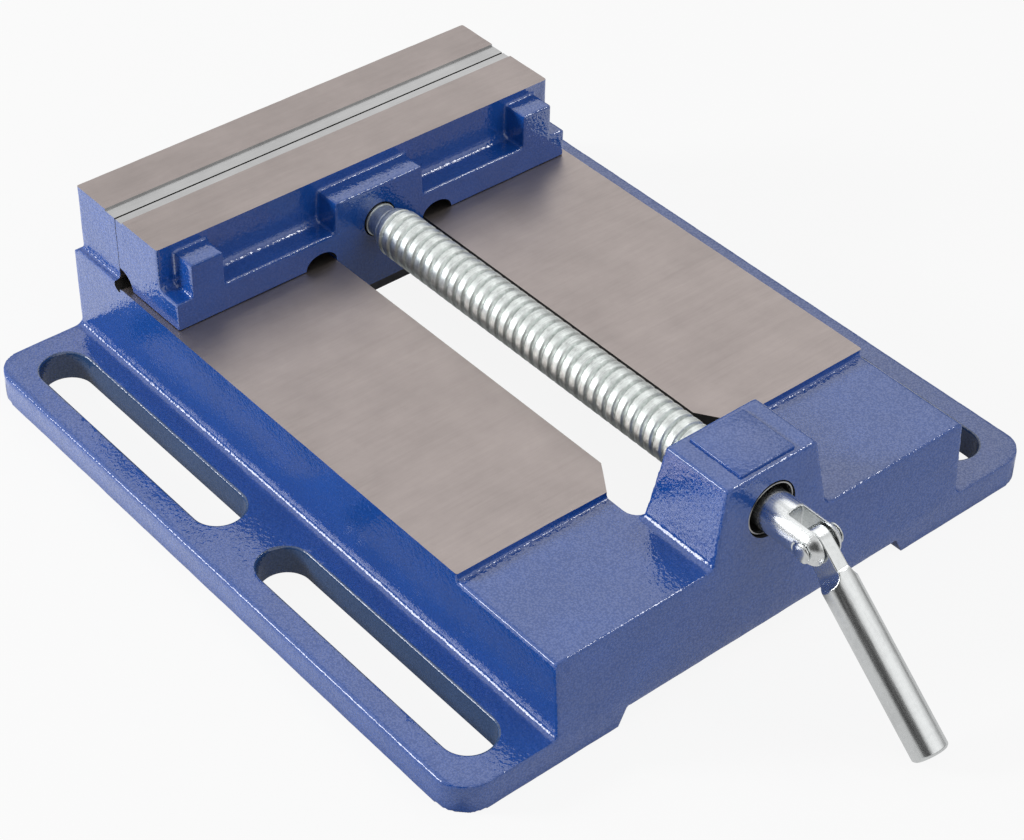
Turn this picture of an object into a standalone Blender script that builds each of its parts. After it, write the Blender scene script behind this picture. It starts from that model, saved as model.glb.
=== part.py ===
"""Drill press vise: cast base with fixed jaw, sliding jaw, lead screw and drop handle.

Built about the vise's own datum: X across the jaws, Y = 0 at the fixed jaw's clamping face with
the front at -Y, Z = 0 on the table. An empty then moves the whole vise so that the world origin
lies at the centre of its footprint, handle included. Sizes are in millimetres, through MM.
"""

import math

import bmesh
import bpy
from mathutils import Matrix, Vector

MM = 0.001

# Fits
SEAT_GAP = 0.3          # between faces that rest on each other
PIN_GAP = 0.3           # radial, pins and bolts in their holes
SCREW_GAP = 0.35        # radial, screw in its bores
SLIDE_GAP = 0.4         # tongue in the slot, handle tongue in the fork
TRAVEL_SPARE = 1.0      # left between tongue and slot end at full opening

# Jaws
JAW_WIDTH = 152.4
JAW_DEPTH = 24.6        # above the ways
JAW_TRAVEL = 146.0
JAW_CLOSED_GAP = 0.3
STEP_DEPTH = 0.65       # ground strip beside the parting line, below the jaw's top
FIXED_STEP = 5.3
FIXED_JAW_THICK = 21.1
FIXED_JAW_FILLET = 2.1
MOVING_STEP = 4.1
MOVING_JAW_THICK = 22.6
FOOT_REACH = 9.2        # foot, boss and lugs stand out from the block
FOOT_HEIGHT = 9.7
FOOT_FILLET = 2.5
FOOT_EDGE = 1.0
LUG_MARGIN = 5.8        # lug to the end of the jaw
LUG_WIDTH = 11.6
LUG_HEIGHT = 21.3
JAW_RELIEF_HEIGHT = 5.4
JAW_RELIEF_DEPTH = 6.6
CHIP_NOTCH_WIDTH = 11.7
CHIP_NOTCH_HEIGHT = 4.3

# Base casting
FLANGE_WIDTH = 33.7     # from the side wall outwards
FLANGE_THICK = 10.0
FLANGE_EDGE = 1.6
BASE_CORNER = 10.5
REAR_LEDGE = 2.7        # behind the fixed jaw
BODY_FILLET = 3.0
FRONT_DRAFT = 0.076     # lean of the front wall, per unit of height
WALL = 7.5
WAY_HEIGHT = 38.7
WAY_THICK = 8.0
WAY_SHORT = 12.1        # machined ways end this far behind the slot's front end
CROSS_BAR = 30.9        # front bar, from the slot's end to the front wall's foot
BAR_DROP = 2.4          # cast front bar below the machined ways
BAR_EDGE = 1.2
ARCH_HEIGHT = 5.9       # front and rear walls clear the table between the feet
ARCH_WIDTH = 112.0
ARCH_SLOPE = 3.0
RIB_THICK = 6.0
RIB_COUNT = 2

# Clamping slots in the flanges
SLOT_WIDTH = 16.3
SLOT_END_MARGIN = 9.3
SLOT_WEB = 16.9         # between the two slots of one flange

# Slot between the ways
GUIDE_WIDTH = 35.0
GUIDE_DEPTH = 15.7      # depth of the guide ribs beside the slot
GUIDE_RIB = 8.0
GUIDE_REAR = 1.0
GUIDE_FLARE = 6.7       # the slot is wider on each side behind the cross bar
GUIDE_FLARE_LENGTH = 10.0
GUIDE_CORNER = 5.0
RELIEF_RADIUS = 2.0     # tool run-out groove at the foot of the fixed jaw
RELIEF_OFFSET = 1.6
RELIEF_RAISE = 0.3      # groove's middle above the ways

# Bosses for the screw
BOSS_HALF_TOP = 16.9
BOSS_DRAFT = 0.195
BOSS_ABOVE_AXIS = 14.5
BOSS_SHORT = 0.4        # rear face starts this far in front of the slot's end
BOSS_REAR_DRAFT = 0.09
BOSS_FILLET = 3.0
BOSS_EDGE = 1.2
PAD_SIZE = 20.4         # bare pad on the front boss
PAD_HEIGHT = 0.8
PAD_RIM = 2.0
PAD_RECESS = 0.5
JAW_BOSS_ABOVE_AXIS = 12.9
JAW_BOSS_DRAFT = 0.05

# Lead screw
AXIS_ABOVE_WAYS = 7.7
THREAD_RADIUS = 8.0
THREAD_ROOT = 6.6
THREAD_PITCH = 4.0
THREAD_CREST = 0.30     # share of the pitch
THREAD_FLANK = 0.22
THREAD_BEHIND_BOSS = 10.0   # plain head starts this far inside the front boss
THREAD_RUN_IN = 0.3
NECK_RADIUS = 5.3
NECK_CHAMFER = 0.8
NECK_SHOW = 4.7         # bare neck between the jaw boss and the thread
NECK_DEPTH = 17.3       # neck inside the jaw
GROOVE_RADIUS = 3.9
HEAD_RADIUS = 6.4
HEAD_RUN_OUT = 1.0
HEAD_CHAMFER = 0.5
HEAD_TO_PIN = 17.6      # front boss to the rivet
FORK_DOME = 6.2
FORK_SLOT_DEPTH = 9.2   # behind the rivet
RIVET_SINK = 0.4        # rivet seats below the head's round surface
BORE_CHAMFER = 0.9
BORE_MOUTH = 1.0        # depth of the straight mouth of the jaw's bore

# Handle
RIVET_RADIUS = 2.3
RIVET_HEAD = 3.3
RIVET_HEAD_THICK = 1.1
RIVET_DOME = 0.8
RIVET_DOME_RISE = 0.6
BAR_RADIUS = 5.5
BAR_REACH = 64.4        # rivet to the end of the bar
BAR_CHAMFER = 0.7
TONGUE_THICK = 5.0
TONGUE_EDGE = 0.7       # handle tongue is this much lower than the bar, above and below
TONGUE_REACH = 10.0
SHOULDER = 1.2
SHOULDER_RISE = 1.9
TABLE_CLEARANCE = 0.2

# Keeper under the ways
KEEPER_MARGIN = 11.5    # keeper beyond the slot on each side
KEEPER_THICK = 3.0
KEEPER_CORNER = 3.0
BOLT_SPREAD = 19.0
BOLT_BACK = 11.0
BOLT_RADIUS = 3.0
BOLT_GRIP = 14.0
BOLT_END_GAP = 1.0
BOLT_CHAMFER = 0.6
BOLT_HEAD_FLATS = 10.0
BOLT_HEAD_THICK = 4.0
WASHER_RIM = 2.3        # washer's ring, from its hole outwards
WASHER_THICK = 1.6
WASHER_SPLIT = 1.4
TONGUE_REAR_GAP = 2.0
SCREW_PIN_RADIUS = 2.0
SCREW_PIN_BACK = 24.5
SCREW_PIN_LENGTH = 20.0
SCREW_PIN_CHAMFER = 0.4

# Modelling
OVERCUT = 1.0           # cutters and joined stubs run this far past the faces they meet
ROUND_SEGMENTS = 24     # sides of large rounds
SMALL_SEGMENTS = 16     # sides of pins, bolts and their holes
GROOVE_SEGMENTS = 12
THREAD_SEGMENTS = 16
DOME_STEPS = 5
SMOOTH_ANGLE = 35.0

# What follows from the sizes above
MOVING_JAW_REACH = MOVING_JAW_THICK + FOOT_REACH
GUIDE_END = MOVING_JAW_REACH + JAW_TRAVEL + TRAVEL_SPARE
WAY_LENGTH = GUIDE_END - WAY_SHORT
BASE_REAR = FIXED_JAW_THICK + REAR_LEDGE
BASE_FRONT = -GUIDE_END - CROSS_BAR
BODY_WIDTH = JAW_WIDTH + 2 * FIXED_JAW_FILLET
BASE_WIDTH = BODY_WIDTH + 2 * FLANGE_WIDTH
SLOT_LENGTH = (BASE_REAR - BASE_FRONT - 2 * SLOT_END_MARGIN - SLOT_WEB) / 2
SLOT_CENTRE_X = (BODY_WIDTH + FLANGE_WIDTH) / 2
SLOT_CENTRES_Y = (BASE_REAR - SLOT_END_MARGIN - SLOT_LENGTH / 2,
                  BASE_FRONT + SLOT_END_MARGIN + SLOT_LENGTH / 2)
BAR_TOP = WAY_HEIGHT - BAR_DROP
WAY_UNDER = WAY_HEIGHT - WAY_THICK
BAR_UNDER = BAR_TOP - WAY_THICK
GUIDE_UNDER = WAY_HEIGHT - GUIDE_DEPTH
AXIS_HEIGHT = WAY_HEIGHT + AXIS_ABOVE_WAYS
BOSS_TOP = AXIS_HEIGHT + BOSS_ABOVE_AXIS
JAW_TOP = WAY_HEIGHT + JAW_DEPTH
JAW_BOTTOM = WAY_HEIGHT + SEAT_GAP
JAW_FOOT_TOP = WAY_HEIGHT + FOOT_HEIGHT
JAW_BOSS_TOP = AXIS_HEIGHT + JAW_BOSS_ABOVE_AXIS
LUG_TOP = JAW_BOTTOM + LUG_HEIGHT
TONGUE_HALF_WIDTH = GUIDE_WIDTH / 2 - SLIDE_GAP
TONGUE_REAR = -GUIDE_REAR - TONGUE_REAR_GAP
TONGUE_BOTTOM = GUIDE_UNDER - SEAT_GAP
KEEPER_TOP = TONGUE_BOTTOM - SEAT_GAP
KEEPER_BOTTOM = KEEPER_TOP - KEEPER_THICK
BOSS_REAR = -GUIDE_END - BOSS_SHORT
BORE_RADIUS = THREAD_RADIUS + SCREW_GAP
NECK_BORE = NECK_RADIUS + SCREW_GAP
SCREW_PIN_X = GROOVE_RADIUS + PIN_GAP + SCREW_PIN_RADIUS
FORK_FLAT = HEAD_RADIUS - RIVET_SINK


def front_wall(height):
    """Y of the drafted front wall at a height above the flange."""
    return BASE_FRONT + FRONT_DRAFT * (height - FLANGE_THICK)


BOSS_FRONT = front_wall(AXIS_HEIGHT)
PIN_Y = BOSS_FRONT - HEAD_TO_PIN
NECK_END = -MOVING_JAW_REACH + NECK_DEPTH
THREAD_START = -MOVING_JAW_REACH - NECK_SHOW
THREAD_END = BOSS_FRONT + THREAD_BEHIND_BOSS


def handle_angle():
    """Angle below the screw's axis at which the bar's end comes to rest on the table."""
    drop = AXIS_HEIGHT - TABLE_CLEARANCE
    reach = BAR_REACH - BAR_CHAMFER
    return math.asin(drop / math.hypot(reach, BAR_RADIUS)) - math.atan2(BAR_RADIUS, reach)


HANDLE_ANGLE = handle_angle()
HANDLE_TIP = PIN_Y - (BAR_REACH * math.cos(HANDLE_ANGLE)
                      + (BAR_RADIUS - BAR_CHAMFER) * math.sin(HANDLE_ANGLE))
MIDDLE_Y = (BASE_REAR + HANDLE_TIP) / 2


def material(name, colour, roughness, metallic):
    """A Principled BSDF material."""
    result = bpy.data.materials.new(name)
    result.use_nodes = True
    shader = result.node_tree.nodes["Principled BSDF"]
    shader.inputs["Base Color"].default_value = (*colour, 1.0)
    shader.inputs["Roughness"].default_value = roughness
    shader.inputs["Metallic"].default_value = metallic
    return result


def arc(centre, radius, start, end, steps):
    """Points on an arc, from start to end in degrees, both included."""
    points = []
    for step in range(steps + 1):
        angle = math.radians(start + (end - start) * step / steps)
        points.append((centre[0] + radius * math.cos(angle), centre[1] + radius * math.sin(angle)))
    return points


def mirrored(points):
    """An outline from its right half, listed bottom to top."""
    return points + [(-a, b) for a, b in reversed(points)]


def solid(name, build):
    """A new object whose mesh is built by a function in a bmesh, in millimetres."""
    mesh = bpy.data.meshes.new(name)
    shape = bmesh.new()
    build(shape)
    bmesh.ops.recalc_face_normals(shape, faces=shape.faces)
    bmesh.ops.scale(shape, vec=(MM, MM, MM), verts=shape.verts)
    shape.to_mesh(mesh)
    shape.free()
    result = bpy.data.objects.new(name, mesh)
    bpy.context.scene.collection.objects.link(result)
    return result


def prism(name, outline, axis, start, end):
    """Extrude an outline along an axis: (y, z) along X, (x, z) along Y or (x, y) along Z."""
    def point(pair, along):
        if axis == "X":
            return (along, pair[0], pair[1])
        if axis == "Y":
            return (pair[0], along, pair[1])
        return (pair[0], pair[1], along)

    def build(shape):
        low = [shape.verts.new(point(pair, start)) for pair in outline]
        face = shape.faces.new(low)
        grown = bmesh.ops.extrude_face_region(shape, geom=[face])
        verts = [item for item in grown["geom"] if isinstance(item, bmesh.types.BMVert)]
        shift = Vector(point((0, 0), end)) - Vector(point((0, 0), start))
        bmesh.ops.translate(shape, vec=shift, verts=verts)

    return solid(name, build)


def box(name, low, high):
    """A box between two corners."""
    outline = [(low[0], low[1]), (high[0], low[1]), (high[0], high[1]), (low[0], high[1])]
    return prism(name, outline, "Z", low[2], high[2])


def turned(name, profile, axis, centre, segments=ROUND_SEGMENTS):
    """Revolve (along, radius) pairs about an axis; the ends close on flat faces or points."""
    turn = {"X": Matrix.Rotation(math.pi / 2, 4, "Y"), "Y": Matrix.Rotation(-math.pi / 2, 4, "X"),
            "Z": Matrix.Identity(4)}[axis]

    def build(shape):
        rings = []
        for along, radius in profile:
            ring = []
            for step in range(segments):
                angle = 2 * math.pi * step / segments
                spot = Vector((radius * math.cos(angle), radius * math.sin(angle), along))
                ring.append(shape.verts.new(turn @ spot + Vector(centre)))
            rings.append(ring)
        for low, high in zip(rings, rings[1:]):
            for step in range(segments):
                after = (step + 1) % segments
                shape.faces.new((low[step], low[after], high[after], high[step]))
        shape.faces.new(rings[0])
        shape.faces.new(rings[-1])

    return solid(name, build)


def rod(name, radius, axis, start, end, centre, segments=ROUND_SEGMENTS):
    """A cylinder between two stations on its axis."""
    return turned(name, [(start, radius), (end, radius)], axis, centre, segments)


def combine(target, tool, operation):
    """Join, cut or intersect with an exact boolean, and remove the tool."""
    step = target.modifiers.new(operation.lower(), "BOOLEAN")
    step.operation = operation
    step.solver = "EXACT"
    step.object = tool
    bpy.context.view_layer.update()
    evaluated = target.evaluated_get(bpy.context.evaluated_depsgraph_get())
    mesh = bpy.data.meshes.new_from_object(evaluated)
    target.modifiers.clear()
    target.data = mesh
    bpy.data.objects.remove(tool)
    return target


def join(target, tool):
    return combine(target, tool, "UNION")


def cut(target, tool):
    return combine(target, tool, "DIFFERENCE")


def common(target, tool):
    return combine(target, tool, "INTERSECT")


def finish(piece, finish_material, parent, origin):
    """Give a piece its material, its origin (on its joint's axis) and its parent."""
    piece.data.materials.clear()
    piece.data.materials.append(finish_material)
    piece.data.transform(Matrix.Translation(-Vector(origin) * MM))
    piece.data.shade_smooth()
    piece.data.set_sharp_from_angle(angle=math.radians(SMOOTH_ANGLE))
    piece.parent = parent
    piece.location = (Vector(origin) - Vector(parent["datum"])) * MM
    return piece


def marker(name, datum, parent=None):
    """An empty at a point of the vise, to carry the pieces that move about it."""
    empty = bpy.data.objects.new(name, None)
    empty["datum"] = datum
    bpy.context.scene.collection.objects.link(empty)
    empty.parent = parent
    start = Vector(parent["datum"]) if parent else Vector((0, MIDDLE_Y, 0))
    empty.location = (Vector(datum) - start) * MM
    return empty


def base_section():
    """Outline across the vise: flanges, foot fillets and side walls."""
    half = BASE_WIDTH / 2
    wall = BODY_WIDTH / 2
    right = [(half, 0.0)]
    right += arc((half - FLANGE_EDGE, FLANGE_THICK - FLANGE_EDGE), FLANGE_EDGE, 0, 90, 2)
    right += arc((wall + BODY_FILLET, FLANGE_THICK + BODY_FILLET), BODY_FILLET, 270, 180, 3)
    right += [(wall, WAY_HEIGHT)]
    return mirrored(right)


def base_side():
    """Outline along the vise: drafted front wall, low cross bar and raised ways."""
    return [(BASE_REAR, 0.0), (BASE_REAR, WAY_HEIGHT), (-WAY_LENGTH, WAY_HEIGHT),
            (-WAY_LENGTH, BAR_TOP), (front_wall(BAR_TOP) + BAR_EDGE, BAR_TOP),
            (front_wall(BAR_TOP - BAR_EDGE), BAR_TOP - BAR_EDGE),
            (front_wall(FLANGE_THICK), FLANGE_THICK), (BASE_FRONT, 0.0)]


def base_plan():
    """Outline from above, with the flanges' rounded corners."""
    half = BASE_WIDTH / 2
    inner = half - BASE_CORNER
    right = arc((inner, BASE_FRONT + BASE_CORNER), BASE_CORNER, 270, 360, 5)
    right += arc((inner, BASE_REAR - BASE_CORNER), BASE_CORNER, 0, 90, 5)
    return mirrored(right)


def guide_plan():
    """Outline of the slot between the ways, from above."""
    half = GUIDE_WIDTH / 2
    wide = half + GUIDE_FLARE
    right = [(half, -GUIDE_REAR), (half, -WAY_LENGTH + GUIDE_FLARE_LENGTH),
             (wide, -WAY_LENGTH)]
    right += arc((wide - GUIDE_CORNER, -GUIDE_END + GUIDE_CORNER), GUIDE_CORNER, 0, -90, 3)
    return mirrored(right)


def flange_slot_plan(x, y):
    """Outline of one clamping slot with round ends."""
    radius = SLOT_WIDTH / 2
    reach = SLOT_LENGTH / 2 - radius
    return arc((x, y + reach), radius, 0, 180, 8) + arc((x, y - reach), radius, 180, 360, 8)


def fixed_jaw():
    """The jaw above the ways, with fillets at its foot."""
    half = JAW_WIDTH / 2
    foot = FIXED_JAW_FILLET
    across = [(half + foot, WAY_HEIGHT - foot)]
    across += arc((half + foot, WAY_HEIGHT + foot), foot, 270, 180, 3)
    across += [(half, JAW_TOP)]
    rear = FIXED_JAW_THICK
    along = [(0.0, WAY_HEIGHT - foot), (0.0, JAW_TOP - STEP_DEPTH),
             (FIXED_STEP, JAW_TOP - STEP_DEPTH), (FIXED_STEP, JAW_TOP), (rear, JAW_TOP)]
    along += arc((rear + foot, WAY_HEIGHT + foot), foot, 180, 270, 3)
    along += [(rear + foot, WAY_HEIGHT - foot)]
    jaw = prism("fixed_jaw", mirrored(across), "Y", -OVERCUT, BASE_REAR)
    return common(jaw, prism("fixed_jaw_side", along, "X", -half - 2 * foot, half + 2 * foot))


def front_boss():
    """The threaded boss on the cross bar, drafted on all sides, with a bare pad on top."""
    def half_at(height):
        return BOSS_HALF_TOP + BOSS_DRAFT * (BOSS_TOP - height)

    bottom = BAR_UNDER + OVERCUT
    foot = BAR_TOP + BOSS_FILLET
    edge = BOSS_TOP - BOSS_EDGE
    across = [(half_at(foot) + BOSS_FILLET, bottom)]
    across += arc((half_at(foot) + BOSS_FILLET, foot), BOSS_FILLET, 270, 180, 3)
    across += [(half_at(edge), edge), (half_at(edge) - BOSS_EDGE, BOSS_TOP)]
    rear_top = BOSS_REAR - BOSS_REAR_DRAFT * (BOSS_TOP - BAR_TOP)
    along = [(BOSS_REAR, bottom), (BOSS_REAR, BAR_TOP), (rear_top, BOSS_TOP),
             (front_wall(BOSS_TOP), BOSS_TOP), (front_wall(bottom), bottom)]
    boss = prism("boss", mirrored(across), "Y", BASE_FRONT - OVERCUT, BOSS_REAR + OVERCUT)
    common(boss, prism("boss_side", along, "X", -BASE_WIDTH / 2, BASE_WIDTH / 2))
    middle = (rear_top + front_wall(BOSS_TOP)) / 2
    half = PAD_SIZE / 2
    inner = half - PAD_RIM
    pad_top = BOSS_TOP + PAD_HEIGHT
    join(boss, box("pad", (-half, middle - half, BOSS_TOP - OVERCUT), (half, middle + half, pad_top)))
    return cut(boss, box("panel", (-inner, middle - inner, pad_top - PAD_RECESS),
                         (inner, middle + inner, pad_top + OVERCUT)))


def hollow_underside(base):
    """Open the casting from below, leaving walls, guide ribs and cross ribs."""
    wall = BODY_WIDTH / 2 - WALL
    rear = BASE_REAR - WALL
    front = BASE_FRONT + WALL
    guide = GUIDE_WIDTH / 2 + GUIDE_RIB
    cut(base, box("hollow", (-wall, front, -OVERCUT), (wall, rear, GUIDE_UNDER)))
    bay_ends = [rear]
    for number in range(RIB_COUNT):
        middle = rear - (rear + WAY_LENGTH) * (number + 1) / (RIB_COUNT + 1)
        bay_ends += [middle + RIB_THICK / 2, middle - RIB_THICK / 2]
    bay_ends += [-WAY_LENGTH + WAY_THICK]
    for side in (-1, 1):
        for high, low in zip(bay_ends[0::2], bay_ends[1::2]):
            edges = sorted((side * guide, side * wall))
            cut(base, box("bay", (edges[0], low, GUIDE_UNDER - OVERCUT),
                                  (edges[1], high, WAY_UNDER)))
        edges = sorted((side * (guide + GUIDE_FLARE), side * wall))
        cut(base, box("front_bay", (edges[0], front, GUIDE_UNDER - OVERCUT),
                      (edges[1], -WAY_LENGTH + WAY_THICK - RIB_THICK, BAR_UNDER)))
    return base


def make_base_casting():
    """Base, ways, flanges, fixed jaw and front boss in one casting."""
    half = BASE_WIDTH / 2
    ends = (BASE_FRONT - OVERCUT, BASE_REAR + OVERCUT)
    base = prism("base_casting", base_section(), "Y", *ends)
    common(base, prism("side", base_side(), "X", -half - OVERCUT, half + OVERCUT))
    common(base, prism("plan", base_plan(), "Z", -OVERCUT, WAY_HEIGHT + OVERCUT))
    join(base, front_boss())
    join(base, fixed_jaw())
    hollow_underside(base)
    cut(base, prism("guide", guide_plan(), "Z", -OVERCUT, WAY_HEIGHT + OVERCUT))
    arch = [(ARCH_WIDTH / 2, -OVERCUT), (ARCH_WIDTH / 2, 0.0),
            (ARCH_WIDTH / 2 - ARCH_SLOPE, ARCH_HEIGHT)]
    cut(base, prism("arch", mirrored(arch), "Y", *ends))
    for x in (-SLOT_CENTRE_X, SLOT_CENTRE_X):
        for y in SLOT_CENTRES_Y:
            slot = flange_slot_plan(x, y)
            cut(base, prism("slot", slot, "Z", -OVERCUT, FLANGE_THICK + OVERCUT))
    groove = (0, -RELIEF_OFFSET, WAY_HEIGHT + RELIEF_RAISE)
    cut(base, rod("relief", RELIEF_RADIUS, "X", -half, half, groove, GROOVE_SEGMENTS))
    mouth = BORE_RADIUS + BORE_CHAMFER
    bore = [(BASE_FRONT - OVERCUT, mouth), (BOSS_FRONT, mouth),
            (BOSS_FRONT + BORE_CHAMFER, BORE_RADIUS), (BOSS_REAR + OVERCUT, BORE_RADIUS)]
    return cut(base, turned("bore", bore, "Y", (0, 0, AXIS_HEIGHT)))


def jaw_side():
    """Outline of the moving jaw's block and foot, along the vise."""
    face = -JAW_CLOSED_GAP
    front = -MOVING_JAW_THICK
    reach = -MOVING_JAW_REACH
    relief = []
    for across, up in arc((0.0, 0.0), 1.0, 90, 0, 4):
        relief.append((face - JAW_RELIEF_DEPTH * across, JAW_BOTTOM + JAW_RELIEF_HEIGHT * up))
    outline = [(face, JAW_TOP - STEP_DEPTH)] + relief
    outline += [(reach, JAW_BOTTOM), (reach, JAW_FOOT_TOP - FOOT_EDGE),
                (reach + FOOT_EDGE, JAW_FOOT_TOP)]
    outline += arc((front - FOOT_FILLET, JAW_FOOT_TOP + FOOT_FILLET), FOOT_FILLET, 270, 360, 3)
    outline += [(front, JAW_TOP), (-MOVING_STEP, JAW_TOP), (-MOVING_STEP, JAW_TOP - STEP_DEPTH)]
    return outline


def chip_notch(side):
    """Half-round notch under the foot, beside the tongue."""
    middle = side * (TONGUE_HALF_WIDTH + CHIP_NOTCH_WIDTH / 2)
    notch = []
    for across, up in arc((0.0, 0.0), 1.0, 0, 180, 8):
        notch.append((middle + CHIP_NOTCH_WIDTH / 2 * across, JAW_BOTTOM + CHIP_NOTCH_HEIGHT * up))
    low = JAW_BOTTOM - OVERCUT
    notch += [(notch[-1][0], low), (notch[0][0], low)]
    return prism("notch", notch, "Y", -MOVING_JAW_REACH - OVERCUT, OVERCUT)


def make_moving_jaw():
    """Sliding jaw: block, foot, centre boss, two lugs and the tongue between the ways."""
    half = JAW_WIDTH / 2
    front = -MOVING_JAW_REACH
    inside = -MOVING_JAW_THICK + OVERCUT
    root = JAW_BOTTOM + OVERCUT
    jaw = prism("moving_jaw", jaw_side(), "X", -half, half)
    boss = [(BOSS_HALF_TOP + JAW_BOSS_DRAFT * (JAW_BOSS_TOP - root), root),
            (BOSS_HALF_TOP, JAW_BOSS_TOP - BOSS_EDGE), (BOSS_HALF_TOP - BOSS_EDGE, JAW_BOSS_TOP)]
    join(jaw, prism("boss", mirrored(boss), "Y", front, inside))
    lug = [(inside, root), (inside, LUG_TOP), (front + BOSS_EDGE, LUG_TOP),
           (front, LUG_TOP - BOSS_EDGE), (front, root)]
    for x in (LUG_MARGIN - half, half - LUG_MARGIN - LUG_WIDTH):
        join(jaw, prism("lug", lug, "X", x, x + LUG_WIDTH))
    for side in (-1, 1):
        cut(jaw, chip_notch(side))
    width = TONGUE_HALF_WIDTH
    join(jaw, box("tongue", (-width, front, TONGUE_BOTTOM), (width, TONGUE_REAR, root)))
    mouth = NECK_BORE + BORE_CHAMFER
    bore = [(front - OVERCUT, mouth + BORE_MOUTH), (front + BORE_CHAMFER, NECK_BORE),
            (NECK_END + SEAT_GAP, NECK_BORE)]
    cut(jaw, turned("bore", bore, "Y", (0, 0, AXIS_HEIGHT)))
    low = TONGUE_BOTTOM - OVERCUT
    pin_top = AXIS_HEIGHT + SCREW_PIN_LENGTH / 2 + SEAT_GAP
    for side in (-1, 1):
        cut(jaw, rod("pin_hole", SCREW_PIN_RADIUS + PIN_GAP, "Z", low, pin_top,
                     (side * SCREW_PIN_X, -SCREW_PIN_BACK, 0), SMALL_SEGMENTS))
        cut(jaw, rod("bolt_hole", BOLT_RADIUS + PIN_GAP, "Z", low, TONGUE_BOTTOM + BOLT_GRIP,
                     (side * BOLT_SPREAD / 2, -BOLT_BACK, 0), SMALL_SEGMENTS))
    return jaw


def screw_shape(shape):
    """The screw's surface: turned neck and head, and a helical thread between them."""
    count = THREAD_SEGMENTS
    turns = round((THREAD_START - THREAD_END) / THREAD_PITCH)
    start = THREAD_START - THREAD_RUN_IN
    root = 1.0 - THREAD_CREST - 2 * THREAD_FLANK
    profile = [(0.0, 0.0), (root, 0.0), (root + THREAD_FLANK, 1.0),
               (root + THREAD_FLANK + THREAD_CREST, 1.0)]

    def spot(along, radius, step):
        angle = 2 * math.pi * step / count
        return shape.verts.new((radius * math.cos(angle), along,
                                AXIS_HEIGHT + radius * math.sin(angle)))

    def ring(along, radius):
        return [spot(along, radius, step) for step in range(count)]

    def skin(low, high):
        for step in range(count):
            after = (step + 1) % count
            shape.faces.new((low[step], low[after], high[after], high[step]))

    neck_low = -SCREW_PIN_BACK - SCREW_PIN_RADIUS - PIN_GAP
    neck_high = -SCREW_PIN_BACK + SCREW_PIN_RADIUS + PIN_GAP
    stations = [(NECK_END, NECK_RADIUS - NECK_CHAMFER), (NECK_END - NECK_CHAMFER, NECK_RADIUS),
                (neck_high, NECK_RADIUS), (neck_high, GROOVE_RADIUS),
                (neck_low, GROOVE_RADIUS), (neck_low, NECK_RADIUS),
                (THREAD_START, NECK_RADIUS), (THREAD_START, THREAD_ROOT)]
    rings = [ring(along, radius) for along, radius in stations]
    shape.faces.new(rings[0])
    for low, high in zip(rings, rings[1:]):
        skin(low, high)
    first = rings[-1]

    total = turns * count
    rows = []
    for step in range(total + 1):
        ramp = min(1.0, step / count, (total - step) / count)
        row = []
        for share, lift in profile:
            along = start - THREAD_PITCH * (step / count + share)
            radius = THREAD_ROOT + lift * ramp * (THREAD_RADIUS - THREAD_ROOT)
            row.append(spot(along, radius, step))
        rows.append(row)
    tail = [spot(start - THREAD_PITCH * ((total + step) / count + 1.0), THREAD_ROOT, total + step)
            for step in range(1 - count, 1)]

    def next_turn(step):
        """First point of the row one turn further on."""
        if step + count <= total:
            return rows[step + count][0]
        return tail[step + count - total - 1]

    for step in range(total):
        here = rows[step]
        there = rows[step + 1]
        for low in range(3):
            shape.faces.new((here[low], there[low], there[low + 1], here[low + 1]))
        shape.faces.new((here[3], there[3], next_turn(step + 1), next_turn(step)))

    for step in range(count - 1):
        shape.faces.new((first[step], first[step + 1], rows[step + 1][0], rows[step][0]))
    shape.faces.new((first[count - 1], first[0], *rows[0], next_turn(0), rows[count - 1][0]))

    head_start = start - THREAD_PITCH * (turns + 1.0) - HEAD_RUN_OUT
    head = [(head_start, THREAD_ROOT), (head_start - HEAD_CHAMFER, HEAD_RADIUS)]
    for radius, along in arc((0.0, 0.0), 1.0, 0, 90, DOME_STEPS)[:-1]:
        head.append((PIN_Y - FORK_DOME * along, HEAD_RADIUS * radius))
    head_rings = [ring(along, radius) for along, radius in head]
    for low, high in zip(head_rings, head_rings[1:]):
        skin(low, high)
    shape.faces.new(head_rings[-1])
    collar = head_rings[0]
    edge = [next_turn(total - count + step) for step in range(1, count + 1)]
    for step in range(count - 1):
        shape.faces.new((edge[step], edge[step + 1], collar[(step + 2) % count],
                         collar[(step + 1) % count]))
    shape.faces.new((*reversed(rows[total]), edge[0], collar[1], collar[0], edge[-1]))


def make_lead_screw():
    """Screw with a rolled thread, a grooved neck and a forked head for the handle."""
    screw = solid("lead_screw", screw_shape)
    half = TONGUE_THICK / 2 + SLIDE_GAP
    reach = HEAD_RADIUS + OVERCUT
    cut(screw, box("fork_slot", (-half, PIN_Y - FORK_DOME - OVERCUT, AXIS_HEIGHT - reach),
                   (half, PIN_Y + FORK_SLOT_DEPTH, AXIS_HEIGHT + reach)))
    centre = (0, PIN_Y, AXIS_HEIGHT)
    cut(screw, rod("rivet_hole", RIVET_RADIUS + PIN_GAP, "X", -reach, reach, centre, SMALL_SEGMENTS))
    for ends in ((-reach, -FORK_FLAT), (FORK_FLAT, reach)):
        cut(screw, rod("rivet_seat", RIVET_HEAD + PIN_GAP, "X", *ends, centre, SMALL_SEGMENTS))
    return screw


def make_handle_rivet():
    """Cross pin with two formed heads."""
    seat = FORK_FLAT + SEAT_GAP
    end = seat + RIVET_HEAD_THICK
    right = [(seat, RIVET_RADIUS), (seat, RIVET_HEAD), (end - RIVET_DOME_RISE, RIVET_HEAD),
             (end, RIVET_HEAD - RIVET_DOME)]
    left = [(-along, radius) for along, radius in reversed(right)]
    return turned("handle_rivet", left + right, "X", (0, PIN_Y, AXIS_HEIGHT), SMALL_SEGMENTS)


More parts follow.
